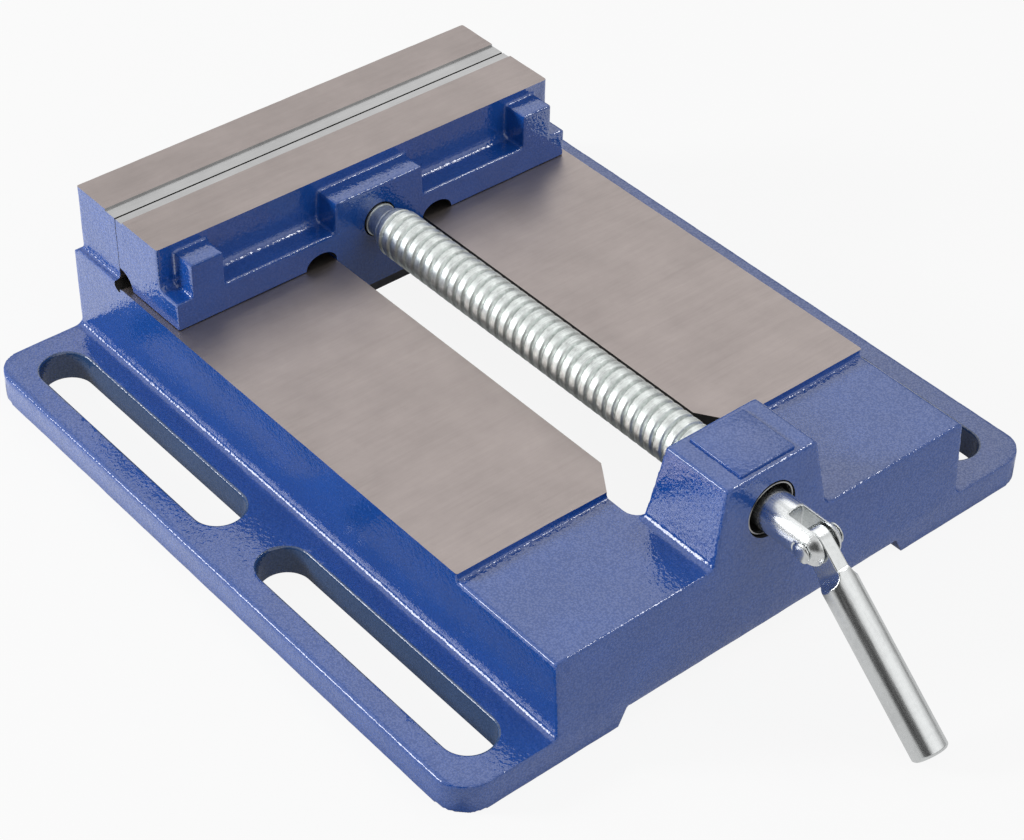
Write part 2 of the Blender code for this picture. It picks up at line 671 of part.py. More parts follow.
def make_handle_bar():
    """Round bar with a flattened tongue, drawn straight ahead of the rivet."""
    pin = (0, PIN_Y, AXIS_HEIGHT)
    profile = [(-TONGUE_REACH, BAR_RADIUS - SHOULDER_RISE), (-TONGUE_REACH - SHOULDER, BAR_RADIUS),
               (-BAR_REACH + BAR_CHAMFER, BAR_RADIUS), (-BAR_REACH, BAR_RADIUS - BAR_CHAMFER)]
    bar = turned("handle_bar", profile, "Y", pin)
    half = BAR_RADIUS - TONGUE_EDGE
    root = PIN_Y - TONGUE_REACH - SHOULDER - OVERCUT
    tongue = arc((PIN_Y, AXIS_HEIGHT), half, 90, -90, 8)
    tongue += [(root, AXIS_HEIGHT - half), (root, AXIS_HEIGHT + half)]
    join(bar, prism("tongue", tongue, "X", -TONGUE_THICK / 2, TONGUE_THICK / 2))
    hole = rod("hole", RIVET_RADIUS + PIN_GAP, "X", -BAR_RADIUS, BAR_RADIUS, pin, SMALL_SEGMENTS)
    return cut(bar, hole)


def make_keeper_plate():
    """Plate bolted under the tongue, wider than the slot."""
    half = GUIDE_WIDTH / 2 + KEEPER_MARGIN
    rear = TONGUE_REAR
    front = -MOVING_JAW_REACH + SEAT_GAP
    corner = KEEPER_CORNER
    right = [(half - corner, front), (half, front + corner), (half, rear - corner),
             (half - corner, rear)]
    plate = prism("keeper_plate", mirrored(right), "Z", KEEPER_BOTTOM, KEEPER_TOP)
    for side in (-1, 1):
        cut(plate, rod("hole", BOLT_RADIUS + PIN_GAP, "Z", KEEPER_BOTTOM - OVERCUT,
                       KEEPER_TOP + OVERCUT, (side * BOLT_SPREAD / 2, -BOLT_BACK, 0), SMALL_SEGMENTS))
    return plate


def make_keeper_bolt(name, side):
    """Hexagon-head bolt, up through the keeper plate into the tongue."""
    head_top = KEEPER_BOTTOM - SEAT_GAP - WASHER_THICK - SEAT_GAP
    end = TONGUE_BOTTOM + BOLT_GRIP - BOLT_END_GAP
    centre = (side * BOLT_SPREAD / 2, -BOLT_BACK, 0)
    corners = BOLT_HEAD_FLATS / 2 / math.cos(math.pi / 6)
    bolt = rod(name, corners, "Z", head_top - BOLT_HEAD_THICK, head_top, centre, 6)
    shank = [(head_top - OVERCUT, BOLT_RADIUS), (end - BOLT_CHAMFER, BOLT_RADIUS),
             (end, BOLT_RADIUS - BOLT_CHAMFER)]
    return join(bolt, turned("shank", shank, "Z", centre, SMALL_SEGMENTS))


def make_keeper_washer(name, side):
    """Split spring washer under the bolt head."""
    top = KEEPER_BOTTOM - SEAT_GAP
    low = top - WASHER_THICK
    hole = BOLT_RADIUS + PIN_GAP
    x = side * BOLT_SPREAD / 2
    centre = (x, -BOLT_BACK, 0)
    ring = rod(name, hole + WASHER_RIM, "Z", low, top, centre)
    cut(ring, rod("hole", hole, "Z", low - OVERCUT, top + OVERCUT, centre, SMALL_SEGMENTS))
    split = [(-BOLT_BACK - WASHER_SPLIT, low - OVERCUT), (-BOLT_BACK, low - OVERCUT),
             (-BOLT_BACK + WASHER_SPLIT, top + OVERCUT), (-BOLT_BACK, top + OVERCUT)]
    ends = sorted((x, x + side * (hole + WASHER_RIM + OVERCUT)))
    return cut(ring, prism("split", split, "X", *ends))


def make_screw_pin(name, side):
    """Roll pin beside the screw's neck groove."""
    bottom = AXIS_HEIGHT - SCREW_PIN_LENGTH / 2
    top = AXIS_HEIGHT + SCREW_PIN_LENGTH / 2
    edge = SCREW_PIN_CHAMFER
    profile = [(bottom, SCREW_PIN_RADIUS - edge), (bottom + edge, SCREW_PIN_RADIUS),
               (top - edge, SCREW_PIN_RADIUS), (top, SCREW_PIN_RADIUS - edge)]
    return turned(name, profile, "Z", (side * SCREW_PIN_X, -SCREW_PIN_BACK, 0), SMALL_SEGMENTS)


def build():
    for old in list(bpy.data.objects):
        bpy.data.objects.remove(old)
    paint = material("blue_hammered_paint", (0.055, 0.09, 0.36), 0.3, 0.0)
    jaw_paint = material("blue_hammered_paint_jaw", (0.05, 0.085, 0.34), 0.3, 0.0)
    zinc = material("bright_zinc", (0.72, 0.74, 0.74), 0.28, 1.0)
    bar_zinc = material("bright_zinc_bar", (0.75, 0.76, 0.77), 0.22, 1.0)
    rivet_zinc = material("bright_zinc_rivet", (0.78, 0.79, 0.79), 0.3, 1.0)
    plate_steel = material("blackened_plate", (0.06, 0.06, 0.065), 0.55, 0.7)
    bolt_steel = material("blackened_bolt", (0.08, 0.08, 0.085), 0.45, 0.8)
    washer_steel = material("spring_washer_steel", (0.2, 0.2, 0.21), 0.4, 0.9)
    pin_steel = material("pin_steel", (0.35, 0.35, 0.36), 0.4, 0.9)

    vise = marker("vise_datum", (0, 0, 0))
    carriage = marker("jaw_carriage", (0, -MOVING_JAW_REACH, WAY_HEIGHT), vise)
    axis = marker("screw_axis", (0, NECK_END, AXIS_HEIGHT), carriage)
    pivot = marker("handle_pivot", (0, PIN_Y, AXIS_HEIGHT), axis)

    finish(make_base_casting(), paint, vise, (0, 0, 0))
    finish(make_moving_jaw(), jaw_paint, carriage, carriage["datum"])
    finish(make_keeper_plate(), plate_steel, carriage, carriage["datum"])
    for word, side in (("left", -1), ("right", 1)):
        spot = (side * BOLT_SPREAD / 2, -BOLT_BACK, KEEPER_BOTTOM)
        finish(make_keeper_bolt("keeper_bolt_" + word, side), bolt_steel, carriage, spot)
        finish(make_keeper_washer("keeper_washer_" + word, side), washer_steel, carriage, spot)
        spot = (side * SCREW_PIN_X, -SCREW_PIN_BACK, AXIS_HEIGHT)
        finish(make_screw_pin("screw_pin_" + word, side), pin_steel, carriage, spot)
    finish(make_lead_screw(), zinc, axis, axis["datum"])
    finish(make_handle_rivet(), rivet_zinc, axis, pivot["datum"])
    bar = finish(make_handle_bar(), bar_zinc, pivot, pivot["datum"])
    bar.rotation_euler = (HANDLE_ANGLE, 0.0, 0.0)


build()
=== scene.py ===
"""Looks for the drill press vise: painted castings with machined faces, zinc screw and handle.

Lengths are in millimetres about the vise's own datum, as a machinist would measure it: X across
the jaws, Y = 0 at the fixed jaw's clamping face with the front at -Y, Z = 0 on the table. The
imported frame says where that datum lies, and MM turns the lengths into metres.
"""

import math

import bmesh
import bpy
from mathutils import Matrix, Vector, noise


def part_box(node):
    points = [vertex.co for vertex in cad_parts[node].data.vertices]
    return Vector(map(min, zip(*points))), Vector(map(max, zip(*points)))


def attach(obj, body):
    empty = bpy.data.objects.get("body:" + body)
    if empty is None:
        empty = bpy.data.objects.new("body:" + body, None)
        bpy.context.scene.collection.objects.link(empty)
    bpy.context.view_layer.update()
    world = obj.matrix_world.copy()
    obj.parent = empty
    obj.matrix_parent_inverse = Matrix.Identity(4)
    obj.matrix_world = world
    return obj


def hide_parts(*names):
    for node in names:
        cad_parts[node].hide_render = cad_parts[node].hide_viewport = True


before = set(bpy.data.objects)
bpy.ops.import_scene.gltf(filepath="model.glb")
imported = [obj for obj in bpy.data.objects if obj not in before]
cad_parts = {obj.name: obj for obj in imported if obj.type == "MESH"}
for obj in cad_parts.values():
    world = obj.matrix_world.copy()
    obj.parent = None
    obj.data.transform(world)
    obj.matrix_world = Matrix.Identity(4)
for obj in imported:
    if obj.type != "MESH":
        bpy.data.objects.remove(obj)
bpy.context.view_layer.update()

MM = 0.001

# Fits and main sizes of the base casting
SEAT_GAP = 0.3
REAR_LEDGE = 2.7
JAW_WIDTH = 152.4
JAW_TOP = 63.3
FIXED_JAW_THICK = 21.1
FIXED_STEP = 5.3
STEP_DEPTH = 0.65
FLANGE_WIDTH = 33.7
FLANGE_THICK = 10.0
BASE_CORNER = 10.5
BODY_WIDTH = 156.6
WALL = 7.5
WAY_HEIGHT = 38.7
WAY_THICK = 8.0
WAY_LENGTH = 166.7
BAR_TOP = 36.3
FRONT_DRAFT = 0.076
GUIDE_HALF = 17.5
GUIDE_EXTRA = 0.7       # how much further out the right side of the guide slot was cut
GUIDE_DEPTH = 15.7
GUIDE_RIB = 8.0
GUIDE_REAR = 1.0
GUIDE_FLARE = 6.7
GUIDE_FLARE_LENGTH = 10.0
GUIDE_CORNER = 5.0
GUIDE_END = 178.8
ARCH_HALF = 56.0
ARCH_SLOPE = 3.0
ARCH_HEIGHT = 5.9
RIB_THICK = 6.0
RIB_COUNT = 2
SLOT_WIDTH = 16.3
SLOT_LENGTH = 99.0
SLOT_WEB = 16.9
SLOT_REAR_Y = -35.0     # middle of the rear slots
RELIEF_RADIUS = 2.0
RELIEF_OFFSET = 1.6
RELIEF_RAISE = 0.3
# Corners of the worn slope, from the front inner corner of the left way
WORN_CORNER = ((-21.0, -0.6, 0.0), (4.0, 6.0, 0.0), (3.0, -3.0, -0.75))

# Front boss, its plate and bore
AXIS_HEIGHT = 46.4
BOSS_HALF_TOP = 16.9
BOSS_DRAFT = 0.195
BOSS_TOP = 60.9
BOSS_REAR = -179.2
BOSS_REAR_DRAFT = 0.09
PAD_SIZE = 20.4
PAD_HEIGHT = 0.8
PAD_EDGE = 0.35
BORE_RADIUS = 8.35
BORE_LIP = 8.1
RING_RADIUS = 8.5
RING_STEP = 0.5         # front of the pale ring, back from the boss's front face
RING_DEPTH = 1.6        # bottom of the wide mouth, from the same face
RING_END = 2.3
LIP_RAMP = 0.1
LIP_END = 2.5
LIP_BREAK = 2.6
MOUTH_RADIUS = 8.95
BORE_CHAMFER = 0.5

# Moving jaw
MOVING_STEP = 4.1
MOVING_JAW_THICK = 22.6
MOVING_JAW_REACH = 31.8
JAW_CLOSED_GAP = 0.3
FOOT_TOP = 48.4
LUG_MARGIN = 5.8
LUG_WIDTH = 11.6
LUG_TOP = 60.3
JAW_BOSS_TOP = 59.3
JAW_BOSS_DRAFT = 0.05
JAW_RELIEF_HEIGHT = 5.4
JAW_RELIEF_DEPTH = 6.6
CHIP_NOTCH_WIDTH = 11.7
CHIP_NOTCH_HEIGHT = 4.3
TONGUE_HALF = 17.1
TONGUE_REAR = -3.0
NECK_BORE = 5.65
NECK_END = -14.5
SCREW_PIN_X = 6.2
SCREW_PIN_BACK = 24.5
SCREW_PIN_HOLE = 2.3
SCREW_PIN_TOP = 56.7
BOLT_SPREAD = 19.0
BOLT_BACK = 11.0
BOLT_HOLE = 3.3
BOLT_GRIP = 14.0

# Edges and fillets
BODY_FILLET = 2.2
FLANGE_EDGE = 1.3
SLOT_EDGE = 0.8
BAR_EDGE = 1.1
BREAK_WIDTH = 0.18      # corner broken off each clamping face's top edge
BREAK_DEPTH = 0.4
JAW_FILLET = 2.1
BOSS_FILLET = 3.0
FOOT_FILLET = 2.5

# Screw, rivet and handle
THREAD_RADIUS = 8.0
THREAD_ROOT = 6.6
THREAD_PITCH = 4.0
THREAD_START = -37.4
THREAD_PHASE = -36.5    # where a valley lies at angle zero
THREAD_VALLEY = 8.0     # how narrow the valleys between the crests are
THREAD_STOP = -201.0
NECK_RADIUS = 5.3
GROOVE_RADIUS = 3.9
COLLAR_START = -31.6
COLLAR_RADIUS = 5.6
# Distance back from the collar's start, and radius there
COLLAR_PROFILE = ((0.0, NECK_RADIUS), (0.15, COLLAR_RADIUS), (0.7, COLLAR_RADIUS), (0.85, NECK_RADIUS))
LEAD_IN = ((0.5, 0.0), (0.05, 0.3))     # distance before the thread, rise over the neck
NECK_CHAMFER = 0.8
SHANK_RUN = 3.0
SHANK_TAPER = 0.5
HEAD_RADIUS = 6.4
HEAD_START = -202.3
HEAD_TO_PIN = 17.6
FORK_DOME = 6.2
FORK_SLOT_HALF = 2.9
FORK_SLOT_DEPTH = 9.2
FORK_FLAT = 6.0
RIVET_RADIUS = 2.3
RIVET_HEAD = 3.3
RIVET_SEAT = 3.6
RIVET_END = 7.4
DOME_SWEEP = 80         # degrees of a round end, which stops short of its pole
BAR_RADIUS = 5.5
BAR_REACH = 64.4
BAR_CHAMFER = 0.7
TONGUE_SIDE = 2.2
TONGUE_RISE = 4.8
TONGUE_ROOT = 8.8
TONGUE_FLARE = 2.0
SHOULDER_RADIUS = 3.6
HANDLE_ANGLE = 41.33

BASE_REAR = FIXED_JAW_THICK + REAR_LEDGE
DATUM = Vector((0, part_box("base_casting")[1].y / MM - BASE_REAR, 0))
BASE_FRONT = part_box("base_casting")[0].y / MM - DATUM.y
BODY_HALF = BODY_WIDTH / 2
BASE_HALF = BODY_HALF + FLANGE_WIDTH
JAW_HALF = JAW_WIDTH / 2
JAW_BOTTOM = WAY_HEIGHT + SEAT_GAP
WAY_UNDER = WAY_HEIGHT - WAY_THICK
BAR_UNDER = BAR_TOP - WAY_THICK
GUIDE_UNDER = WAY_HEIGHT - GUIDE_DEPTH
TONGUE_BOTTOM = GUIDE_UNDER - SEAT_GAP
SLOT_CENTRE_X = (BODY_WIDTH + FLANGE_WIDTH) / 2
SLOT_CENTRES_Y = (SLOT_REAR_Y, SLOT_REAR_Y - SLOT_LENGTH - SLOT_WEB)

# Camera: places in world millimetres, roll in degrees, lens and sensor in millimetres
CAMERA_SPOT = (-388.4, -422.2, 503.9)
CAMERA_AIM = (-18.14, 7.75, 30.0)
CAMERA_ROLL = 1.197
CAMERA_LENS = 88.32
CAMERA_SENSOR = 36.0
CAMERA_REACH = 50.0     # metres

# Studio: directions, and distances in metres
FLOOR_SIZE = 6.0
FLOOR_COLOUR = (0.55, 0.55, 0.55)
FLOOR_WHITE = 0.9       # share of plain white in what the camera sees of the floor
FLOOR_RISE = (-0.13, 0.12)
FLOOR_GLOW = (0.62, 1.5)
FLOOR_FADE = (0.35, 0.8)
FLOOR_FAR = 0.3
UNDER_INSET = 0.003
UNDER_RISE = (0.0, 0.006)
UNDER_SHADOW_GLOW = 0.22       # painted shadow: brightness in reflections of the floor under the vise
SKY_PLAIN = 0.45
SKY_RISE = (0.02, 0.35)
SKY_GLOW = (0.25, 1.0)
SKY_LOBES = (           # direction, cosines where it starts and is full, brightness outside and in
    ((-0.83, -0.46, 0.32), 0.86, 0.93, 1.0, 0.1),
    ((0.5, 0.53, 0.68), 0.92, 0.988, 0.7, 1.32),
    ((-0.28, 0.555, 0.78), 0.9, 0.97, 1.0, 1.5),
    ((-0.74, 0.555, 0.38), 0.972, 0.992, 1.0, 13.0),
    ((0.2, -0.8, 0.45), 0.75, 0.95, 1.0, 1.4),
)
LAMPS = (               # name, direction, distance, size, power, seen in reflections too
    ("key", (-0.74, 0.555, 0.38), 1.3, 0.34, 14.0, False),
    ("fill", (0.2, -0.8, 0.45), 1.4, 1.8, 8.5, False),
    ("overhead", (0.51, 0.0, 0.86), 1.4, 0.25, 1.5, True),
)
LAMP_AIM = (0.0, 0.0, 0.02)

# Surfaces
CUT = 2.0               # cutters run this far past the faces they meet
STOCK = 1.5             # cast surface left on a face before it is machined
OVERLAP = 1.0           # bodies that are joined run this far into each other
BOTTOM_SKIM = 0.05      # taken off the casting's underside
HIDDEN_EDGE = 0.25
SHARP_ANGLE = 32.0
FORGED_SHARP = 50.0
RIVET_SHARP = 60.0

# Skins: voxel in mm, smoothing passes, unevenness in mm, triangles left
BASE_SKIN = (0.5, 4, 0.09, 95000)
JAW_SKIN = (0.5, 4, 0.06, 70000)
HEAD_SKIN = (0.25, 3, 0.02, 40000)
RIVET_SKIN = (0.25, 2, 0.12, 12000)
BAR_SKIN = (0.25, 3, 0.015, 60000)
SKIN_SWELL = 9.0        # periods of the unevenness in mm, and the share of the shorter one
SKIN_RIPPLE = 3.1
RIPPLE_SHARE = 0.45

# Scale of the tool marks along each axis: the smaller it is, the further a mark runs that way
MILLED_MARKS = (0.04, 1.0, 1.0)
TURNED_MARKS = (0.08, 1.0, 0.08)
DRAWN_MARKS = (1.0, 0.05, 0.05)

HIDDEN_STEEL = (        # start of the nodes' names, material, colour, roughness
    ("keeper_plate", "blackened_plate", (0.05, 0.05, 0.055), 0.5),
    ("keeper_bolt", "blackened_bolt", (0.07, 0.07, 0.075), 0.42),
    ("keeper_washer", "washer_steel", (0.2, 0.2, 0.21), 0.4),
    ("screw_pin", "pin_steel", (0.33, 0.33, 0.34), 0.38),
)


def front_wall(height):
    """Y of the drafted front wall at a height above the flange."""
    return BASE_FRONT + FRONT_DRAFT * (height - FLANGE_THICK)


BOSS_FRONT = front_wall(AXIS_HEIGHT)
PIN_Y = BOSS_FRONT - HEAD_TO_PIN


class Nodes:
    """Short calls that add nodes to one tree."""

    def __init__(self, tree):
        self.tree = tree

    def put(self, value, socket):
        if isinstance(value, bpy.types.NodeSocket):
            self.tree.links.new(value, socket)
        else:
            socket.default_value = value

    def node(self, kind, inputs=None, **settings):
        made = self.tree.nodes.new(kind)
        for name, value in settings.items():
            setattr(made, name, value)
        for name, value in (inputs or {}).items():
            self.put(value, made.inputs[name])
        return made

    def ramp(self, source, low, high, start=0.0, end=1.0, smooth=False):
        """Map a value from (low, high) to (start, end), clamped."""
        made = self.node("ShaderNodeMapRange", {"Value": source, "From Min": low, "From Max": high,
                                                "To Min": start, "To Max": end})
        made.interpolation_type = "SMOOTHSTEP" if smooth else "LINEAR"
        return made.outputs["Result"]

    def math(self, operation, first, second=0.0):
        made = self.tree.nodes.new("ShaderNodeMath")
        made.operation = operation
        self.put(first, made.inputs[0])
        self.put(second, made.inputs[1])
        return made.outputs[0]

    def weighed(self, first, second, share):
        """Sum of two values, the first with this share and the second with the rest."""
        return self.math("ADD", self.math("MULTIPLY", first, share),
                         self.math("MULTIPLY", second, 1.0 - share))

    def colour_mix(self, amount, first, second):
        """Mix two colours by a value."""
        made = self.tree.nodes.new("ShaderNodeMix")
        made.data_type = "RGBA"
        self.put(amount, made.inputs[0])
        for number, value in ((6, first), (7, second)):
            self.put(value if isinstance(value, bpy.types.NodeSocket) else (*value, 1.0),
                     made.inputs[number])
        return made.outputs[2]

    def parts(self, vector):
        """X, Y and Z of a vector."""
        return self.node("ShaderNodeSeparateXYZ", {"Vector": vector}).outputs

    def rays(self, *kinds):
        """1 for these kinds of light ray, else 0."""
        path = self.node("ShaderNodeLightPath").outputs
        value = path[f"Is {kinds[0]} Ray"]
        for kind in kinds[1:]:
            value = self.math("MAXIMUM", value, path[f"Is {kind} Ray"])
        return value


class Finish(Nodes):
    """A Principled material whose patterns lie on the piece itself."""

    def __init__(self, name, metallic=0.0):
        self.material = bpy.data.materials.new(name)
        self.material.use_nodes = True
        super().__init__(self.material.node_tree)
        self.principled = self.tree.nodes["Principled BSDF"]
        self.principled.inputs["Metallic"].default_value = metallic
        self.place = self.node("ShaderNodeTexCoord").outputs["Object"]

    def set(self, **values):
        """Uniform values on the shader's own sockets, by name with _ for spaces."""
        for name, value in values.items():
            self.principled.inputs[name.replace("_", " ")].default_value = value

    def drive(self, socket, source):
        self.tree.links.new(source, self.principled.inputs[socket])

    def stretched(self, scale):
        """The piece's own coordinates, scaled along each axis."""
        return self.node("ShaderNodeMapping", {"Vector": self.place, "Scale": scale}).outputs[0]

    def noise(self, period, detail=2.0, rough=0.5, place=None):
        """Noise between 0 and 1 whose features are about a period (mm) across."""
        return self.node("ShaderNodeTexNoise", {
            "Vector": place or self.place, "Scale": 1.0 / (period * MM), "Detail": detail,
            "Roughness": rough}).outputs["Fac"]

    def cells(self, period, smooth=0.6):
        """Distance to the nearest of scattered points about a period (mm) apart."""
        return self.node("ShaderNodeTexVoronoi", {
            "Vector": self.place, "Scale": 1.0 / (period * MM), "Smoothness": smooth},
            feature="SMOOTH_F1").outputs["Distance"]

    def relief(self, layers):
        """Bumps from (height value, depth in mm) layers, one over the other."""
        normal = None
        for height, depth in layers:
            inputs = {"Height": height, "Distance": depth * MM, "Strength": 1.0}
            if normal is not None:
                inputs["Normal"] = normal
            normal = self.node("ShaderNodeBump", inputs).outputs["Normal"]
        self.drive("Normal", normal)
        return normal


def tinted(colour, factor):
    return tuple(min(1.0, factor * part) for part in colour)


def paint_material(name, colour):
    """Glossy blue enamel over cast iron, with orange peel and thin and thick places."""
    paint = Finish(name)
    peel = paint.noise(1.05, detail=1.5, rough=0.5)
    swell = paint.noise(2.8, detail=1.0)
    cloud = paint.noise(14.0, detail=3.0)
    fleck = paint.cells(0.55)
    tone = paint.ramp(paint.weighed(cloud, fleck, 0.5), 0.25, 0.6)
    paint.drive("Base Color", paint.colour_mix(tone, tinted(colour, 1.12), tinted(colour, 0.88)))
    paint.drive("Coat Weight", paint.ramp(fleck, 0.35, 0.6, 1.0, 0.72))
    paint.drive("Roughness", paint.ramp(peel, 0.3, 0.7, 0.4, 0.5))
    paint.set(Specular_IOR_Level=0.0, Coat_Roughness=0.04, Coat_IOR=2.0)
    normal = paint.relief([(swell, 0.07), (peel, 0.12)])
    paint.drive("Coat Normal", normal)
    return paint.material


def machined_material(name, colour, roughness):
    """Ground or milled grey iron, with fine marks across the vise and stains."""
    iron = Finish(name, metallic=1.0)
    marks = iron.noise(0.35, detail=3.0, place=iron.stretched(MILLED_MARKS))
    broad = iron.noise(2.2, detail=2.0, place=iron.stretched(MILLED_MARKS))
    cloud = iron.noise(17.0, detail=4.0, rough=0.6)
    grain = iron.noise(0.5, detail=2.0)
    tone = iron.ramp(iron.weighed(cloud, broad, 0.75), 0.3, 0.7)
    iron.drive("Base Color", iron.colour_mix(tone, tinted(colour, 0.9), tinted(colour, 1.08)))
    iron.drive("Roughness", iron.ramp(marks, 0.2, 0.8, roughness - 0.05, roughness + 0.08))
    iron.relief([(marks, 0.004), (grain, 0.003)])
    return iron.material


def oily_and_shade_material(name):
    """Near-black iron in bores, grooves, notches, the guide slot's walls and the jaws' broken top
    edges: oily iron left as cut, made darker still as painted shade of these recesses and of the
    parting line.
    """
    oily_shade = Finish(name)
    cloud = oily_shade.noise(2.0, detail=3.0)
    oily_shade.drive("Base Color", oily_shade.colour_mix(oily_shade.ramp(cloud, 0.3, 0.7), (0.012, 0.012, 0.012),
                                             (0.03, 0.028, 0.025)))
    oily_shade.drive("Roughness", oily_shade.ramp(cloud, 0.3, 0.7, 0.45, 0.6))
    oily_shade.relief([(oily_shade.noise(0.6, detail=3.0), 0.02)])
    return oily_shade.material


def zinc_material(name, colour, roughness, scale, mottle):
    """Bright zinc plate with tool marks; mottle is how bright its dull patches are."""
    zinc = Finish(name, metallic=1.0)
    marks = zinc.noise(0.45, detail=3.0, place=zinc.stretched(scale))
    cloud = zinc.noise(1.3, detail=4.0, rough=0.6)
    tone = zinc.ramp(zinc.weighed(cloud, marks, 0.5), 0.36, 0.56)
    zinc.drive("Base Color", zinc.colour_mix(tone, tinted(colour, mottle), colour))
    zinc.drive("Roughness", zinc.ramp(marks, 0.2, 0.8, roughness - 0.05, roughness + 0.07))
    zinc.relief([(marks, 0.01), (zinc.noise(1.1, detail=2.0), 0.012)])
    return zinc.material


def steel_material(name, colour, roughness):
    """Blackened or bare steel of small hidden parts."""
    steel = Finish(name, metallic=0.85)
    cloud = steel.noise(3.0, detail=4.0, rough=0.6)
    tone = steel.ramp(cloud, 0.35, 0.7)
    steel.drive("Base Color", steel.colour_mix(tone, colour, tinted(colour, 1.5)))
    worn = steel.ramp(steel.noise(0.8), 0.2, 0.8, roughness - 0.08, roughness + 0.08)
    steel.drive("Roughness", worn)
    steel.relief([(steel.noise(0.4, detail=3.0), 0.01)])
    return steel.material


def arc(centre, radius, start, end, steps):
    """Points on an arc, from start to end in degrees, both included."""
    points = []
    for step in range(steps + 1):
        angle = math.radians(start + (end - start) * step / steps)
        points.append((centre[0] + radius * math.cos(angle), centre[1] + radius * math.sin(angle)))
    return points


def mirrored(points):
    """An outline from its right half, listed bottom to top."""
    return points + [(-a, b) for a, b in reversed(points)]


def new_object(name, shape):
    """A new object from a bmesh in vise millimetres, placed where the frame's datum lies."""
    bmesh.ops.recalc_face_normals(shape, faces=shape.faces)
    bmesh.ops.translate(shape, vec=DATUM, verts=shape.verts)
    bmesh.ops.scale(shape, vec=(MM, MM, MM), verts=shape.verts)
    mesh = bpy.data.meshes.new(name)
    shape.to_mesh(mesh)
    shape.free()
    made = bpy.data.objects.new(name, mesh)
    bpy.context.scene.collection.objects.link(made)
    return made


def lofted(name, rings):
    """A closed body through rings that have as many points each; the ends close on flat faces."""
    shape = bmesh.new()
    loops = [[shape.verts.new(spot) for spot in ring] for ring in rings]
    for low, high in zip(loops, loops[1:]):
        for number in range(len(low)):
            after = (number + 1) % len(low)
            shape.faces.new((low[number], low[after], high[after], high[number]))
    shape.faces.new(loops[0])
    shape.faces.new(loops[-1])
    return new_object(name, shape)


def prism(name, outline, axis, start, end):
    """Extrude an outline along an axis: (y, z) along X, (x, z) along Y or (x, y) along Z."""
    place = {"X": lambda pair, along: (along, pair[0], pair[1]),
             "Y": lambda pair, along: (pair[0], along, pair[1]),
             "Z": lambda pair, along: (pair[0], pair[1], along)}[axis]
    return lofted(name, [[place(pair, along) for pair in outline] for along in (start, end)])


def box(name, low, high):
    """A box between two corners."""
    outline = [(low[0], low[1]), (high[0], low[1]), (high[0], high[1]), (low[0], high[1])]
    return prism(name, outline, "Z", low[2], high[2])


def turned(name, profile, axis, centre, segments=48):
    """Revolve (along, radius) pairs about an axis."""
    turn = {"X": Matrix.Rotation(math.pi / 2, 4, "Y"), "Y": Matrix.Rotation(-math.pi / 2, 4, "X"),
            "Z": Matrix.Identity(4)}[axis]
    rings = []
    for along, radius in profile:
        ring = []
        for step in range(segments):
            angle = 2 * math.pi * step / segments
            spot = Vector((radius * math.cos(angle), radius * math.sin(angle), along))
            ring.append(turn @ spot + Vector(centre))
        rings.append(ring)
    return lofted(name, rings)


def rod(name, radius, axis, start, end, centre, segments=48):
    """A cylinder between two stations on its axis."""
    return turned(name, [(start, radius), (end, radius)], axis, centre, segments)


def applied(piece):
    """Replace a piece's mesh by what its modifiers make of it."""
    bpy.context.view_layer.update()
    mesh = bpy.data.meshes.new_from_object(piece.evaluated_get(bpy.context.evaluated_depsgraph_get()))
    old = piece.data
    piece.modifiers.clear()
    piece.data = mesh
    bpy.data.meshes.remove(old)
    return piece


def carve(piece, tools, operation="DIFFERENCE", finish=None):
    """Cut a piece with closed tools; the cut faces take the tools' material."""
    for tool in tools:
        if finish is not None:
            coated(tool, finish)
        step = piece.modifiers.new("carve", "BOOLEAN")
        step.operation = operation
        step.solver = "MANIFOLD"
        step.material_mode = "TRANSFER"
        step.object = tool
        applied(piece)
        bpy.data.objects.remove(tool)
    return piece


def cast(piece, voxel, passes, waviness, faces):
    """Turn sharp volumes into a casting: rounded edges and fillets, and a slightly uneven skin."""
    step = piece.modifiers.new("skin", "REMESH")
    step.mode = "VOXEL"
    step.voxel_size = voxel * MM
    step = piece.modifiers.new("round", "SMOOTH")
    step.factor = 0.5
    step.iterations = passes
    applied(piece)
    normals = [vertex.normal.copy() for vertex in piece.data.vertices]
    places = []
    for vertex, normal in zip(piece.data.vertices, normals):
        spot = vertex.co / MM
        lift = noise.noise(spot / SKIN_SWELL) * waviness
        lift += noise.noise(spot / SKIN_RIPPLE) * waviness * RIPPLE_SHARE
        places.extend(vertex.co + normal * lift * MM)
    piece.data.vertices.foreach_set("co", places)
    piece.data.update()
    step = piece.modifiers.new("thin", "DECIMATE")
    step.ratio = min(1.0, faces / len(piece.data.polygons) / 2)
    return applied(piece)


def shade(piece, angle=SHARP_ANGLE):
    piece.data.shade_smooth()
    piece.data.set_sharp_from_angle(angle=math.radians(angle))
    return piece


def coated(piece, finish):
    """Give the whole piece one material."""
    piece.data.materials.clear()
    piece.data.materials.append(finish)
    return piece


def dress(piece, body, node):
    """Put a finished piece on its body's empty and hide the CAD node it stands in for."""
    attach(piece, body)
    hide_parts(node)


def joined(pieces):
    """One closed body from several that overlap."""
    return carve(pieces[0], pieces[1:], "UNION")


def common(pieces):
    """What several closed bodies share."""
    return carve(pieces[0], pieces[1:], "INTERSECT")


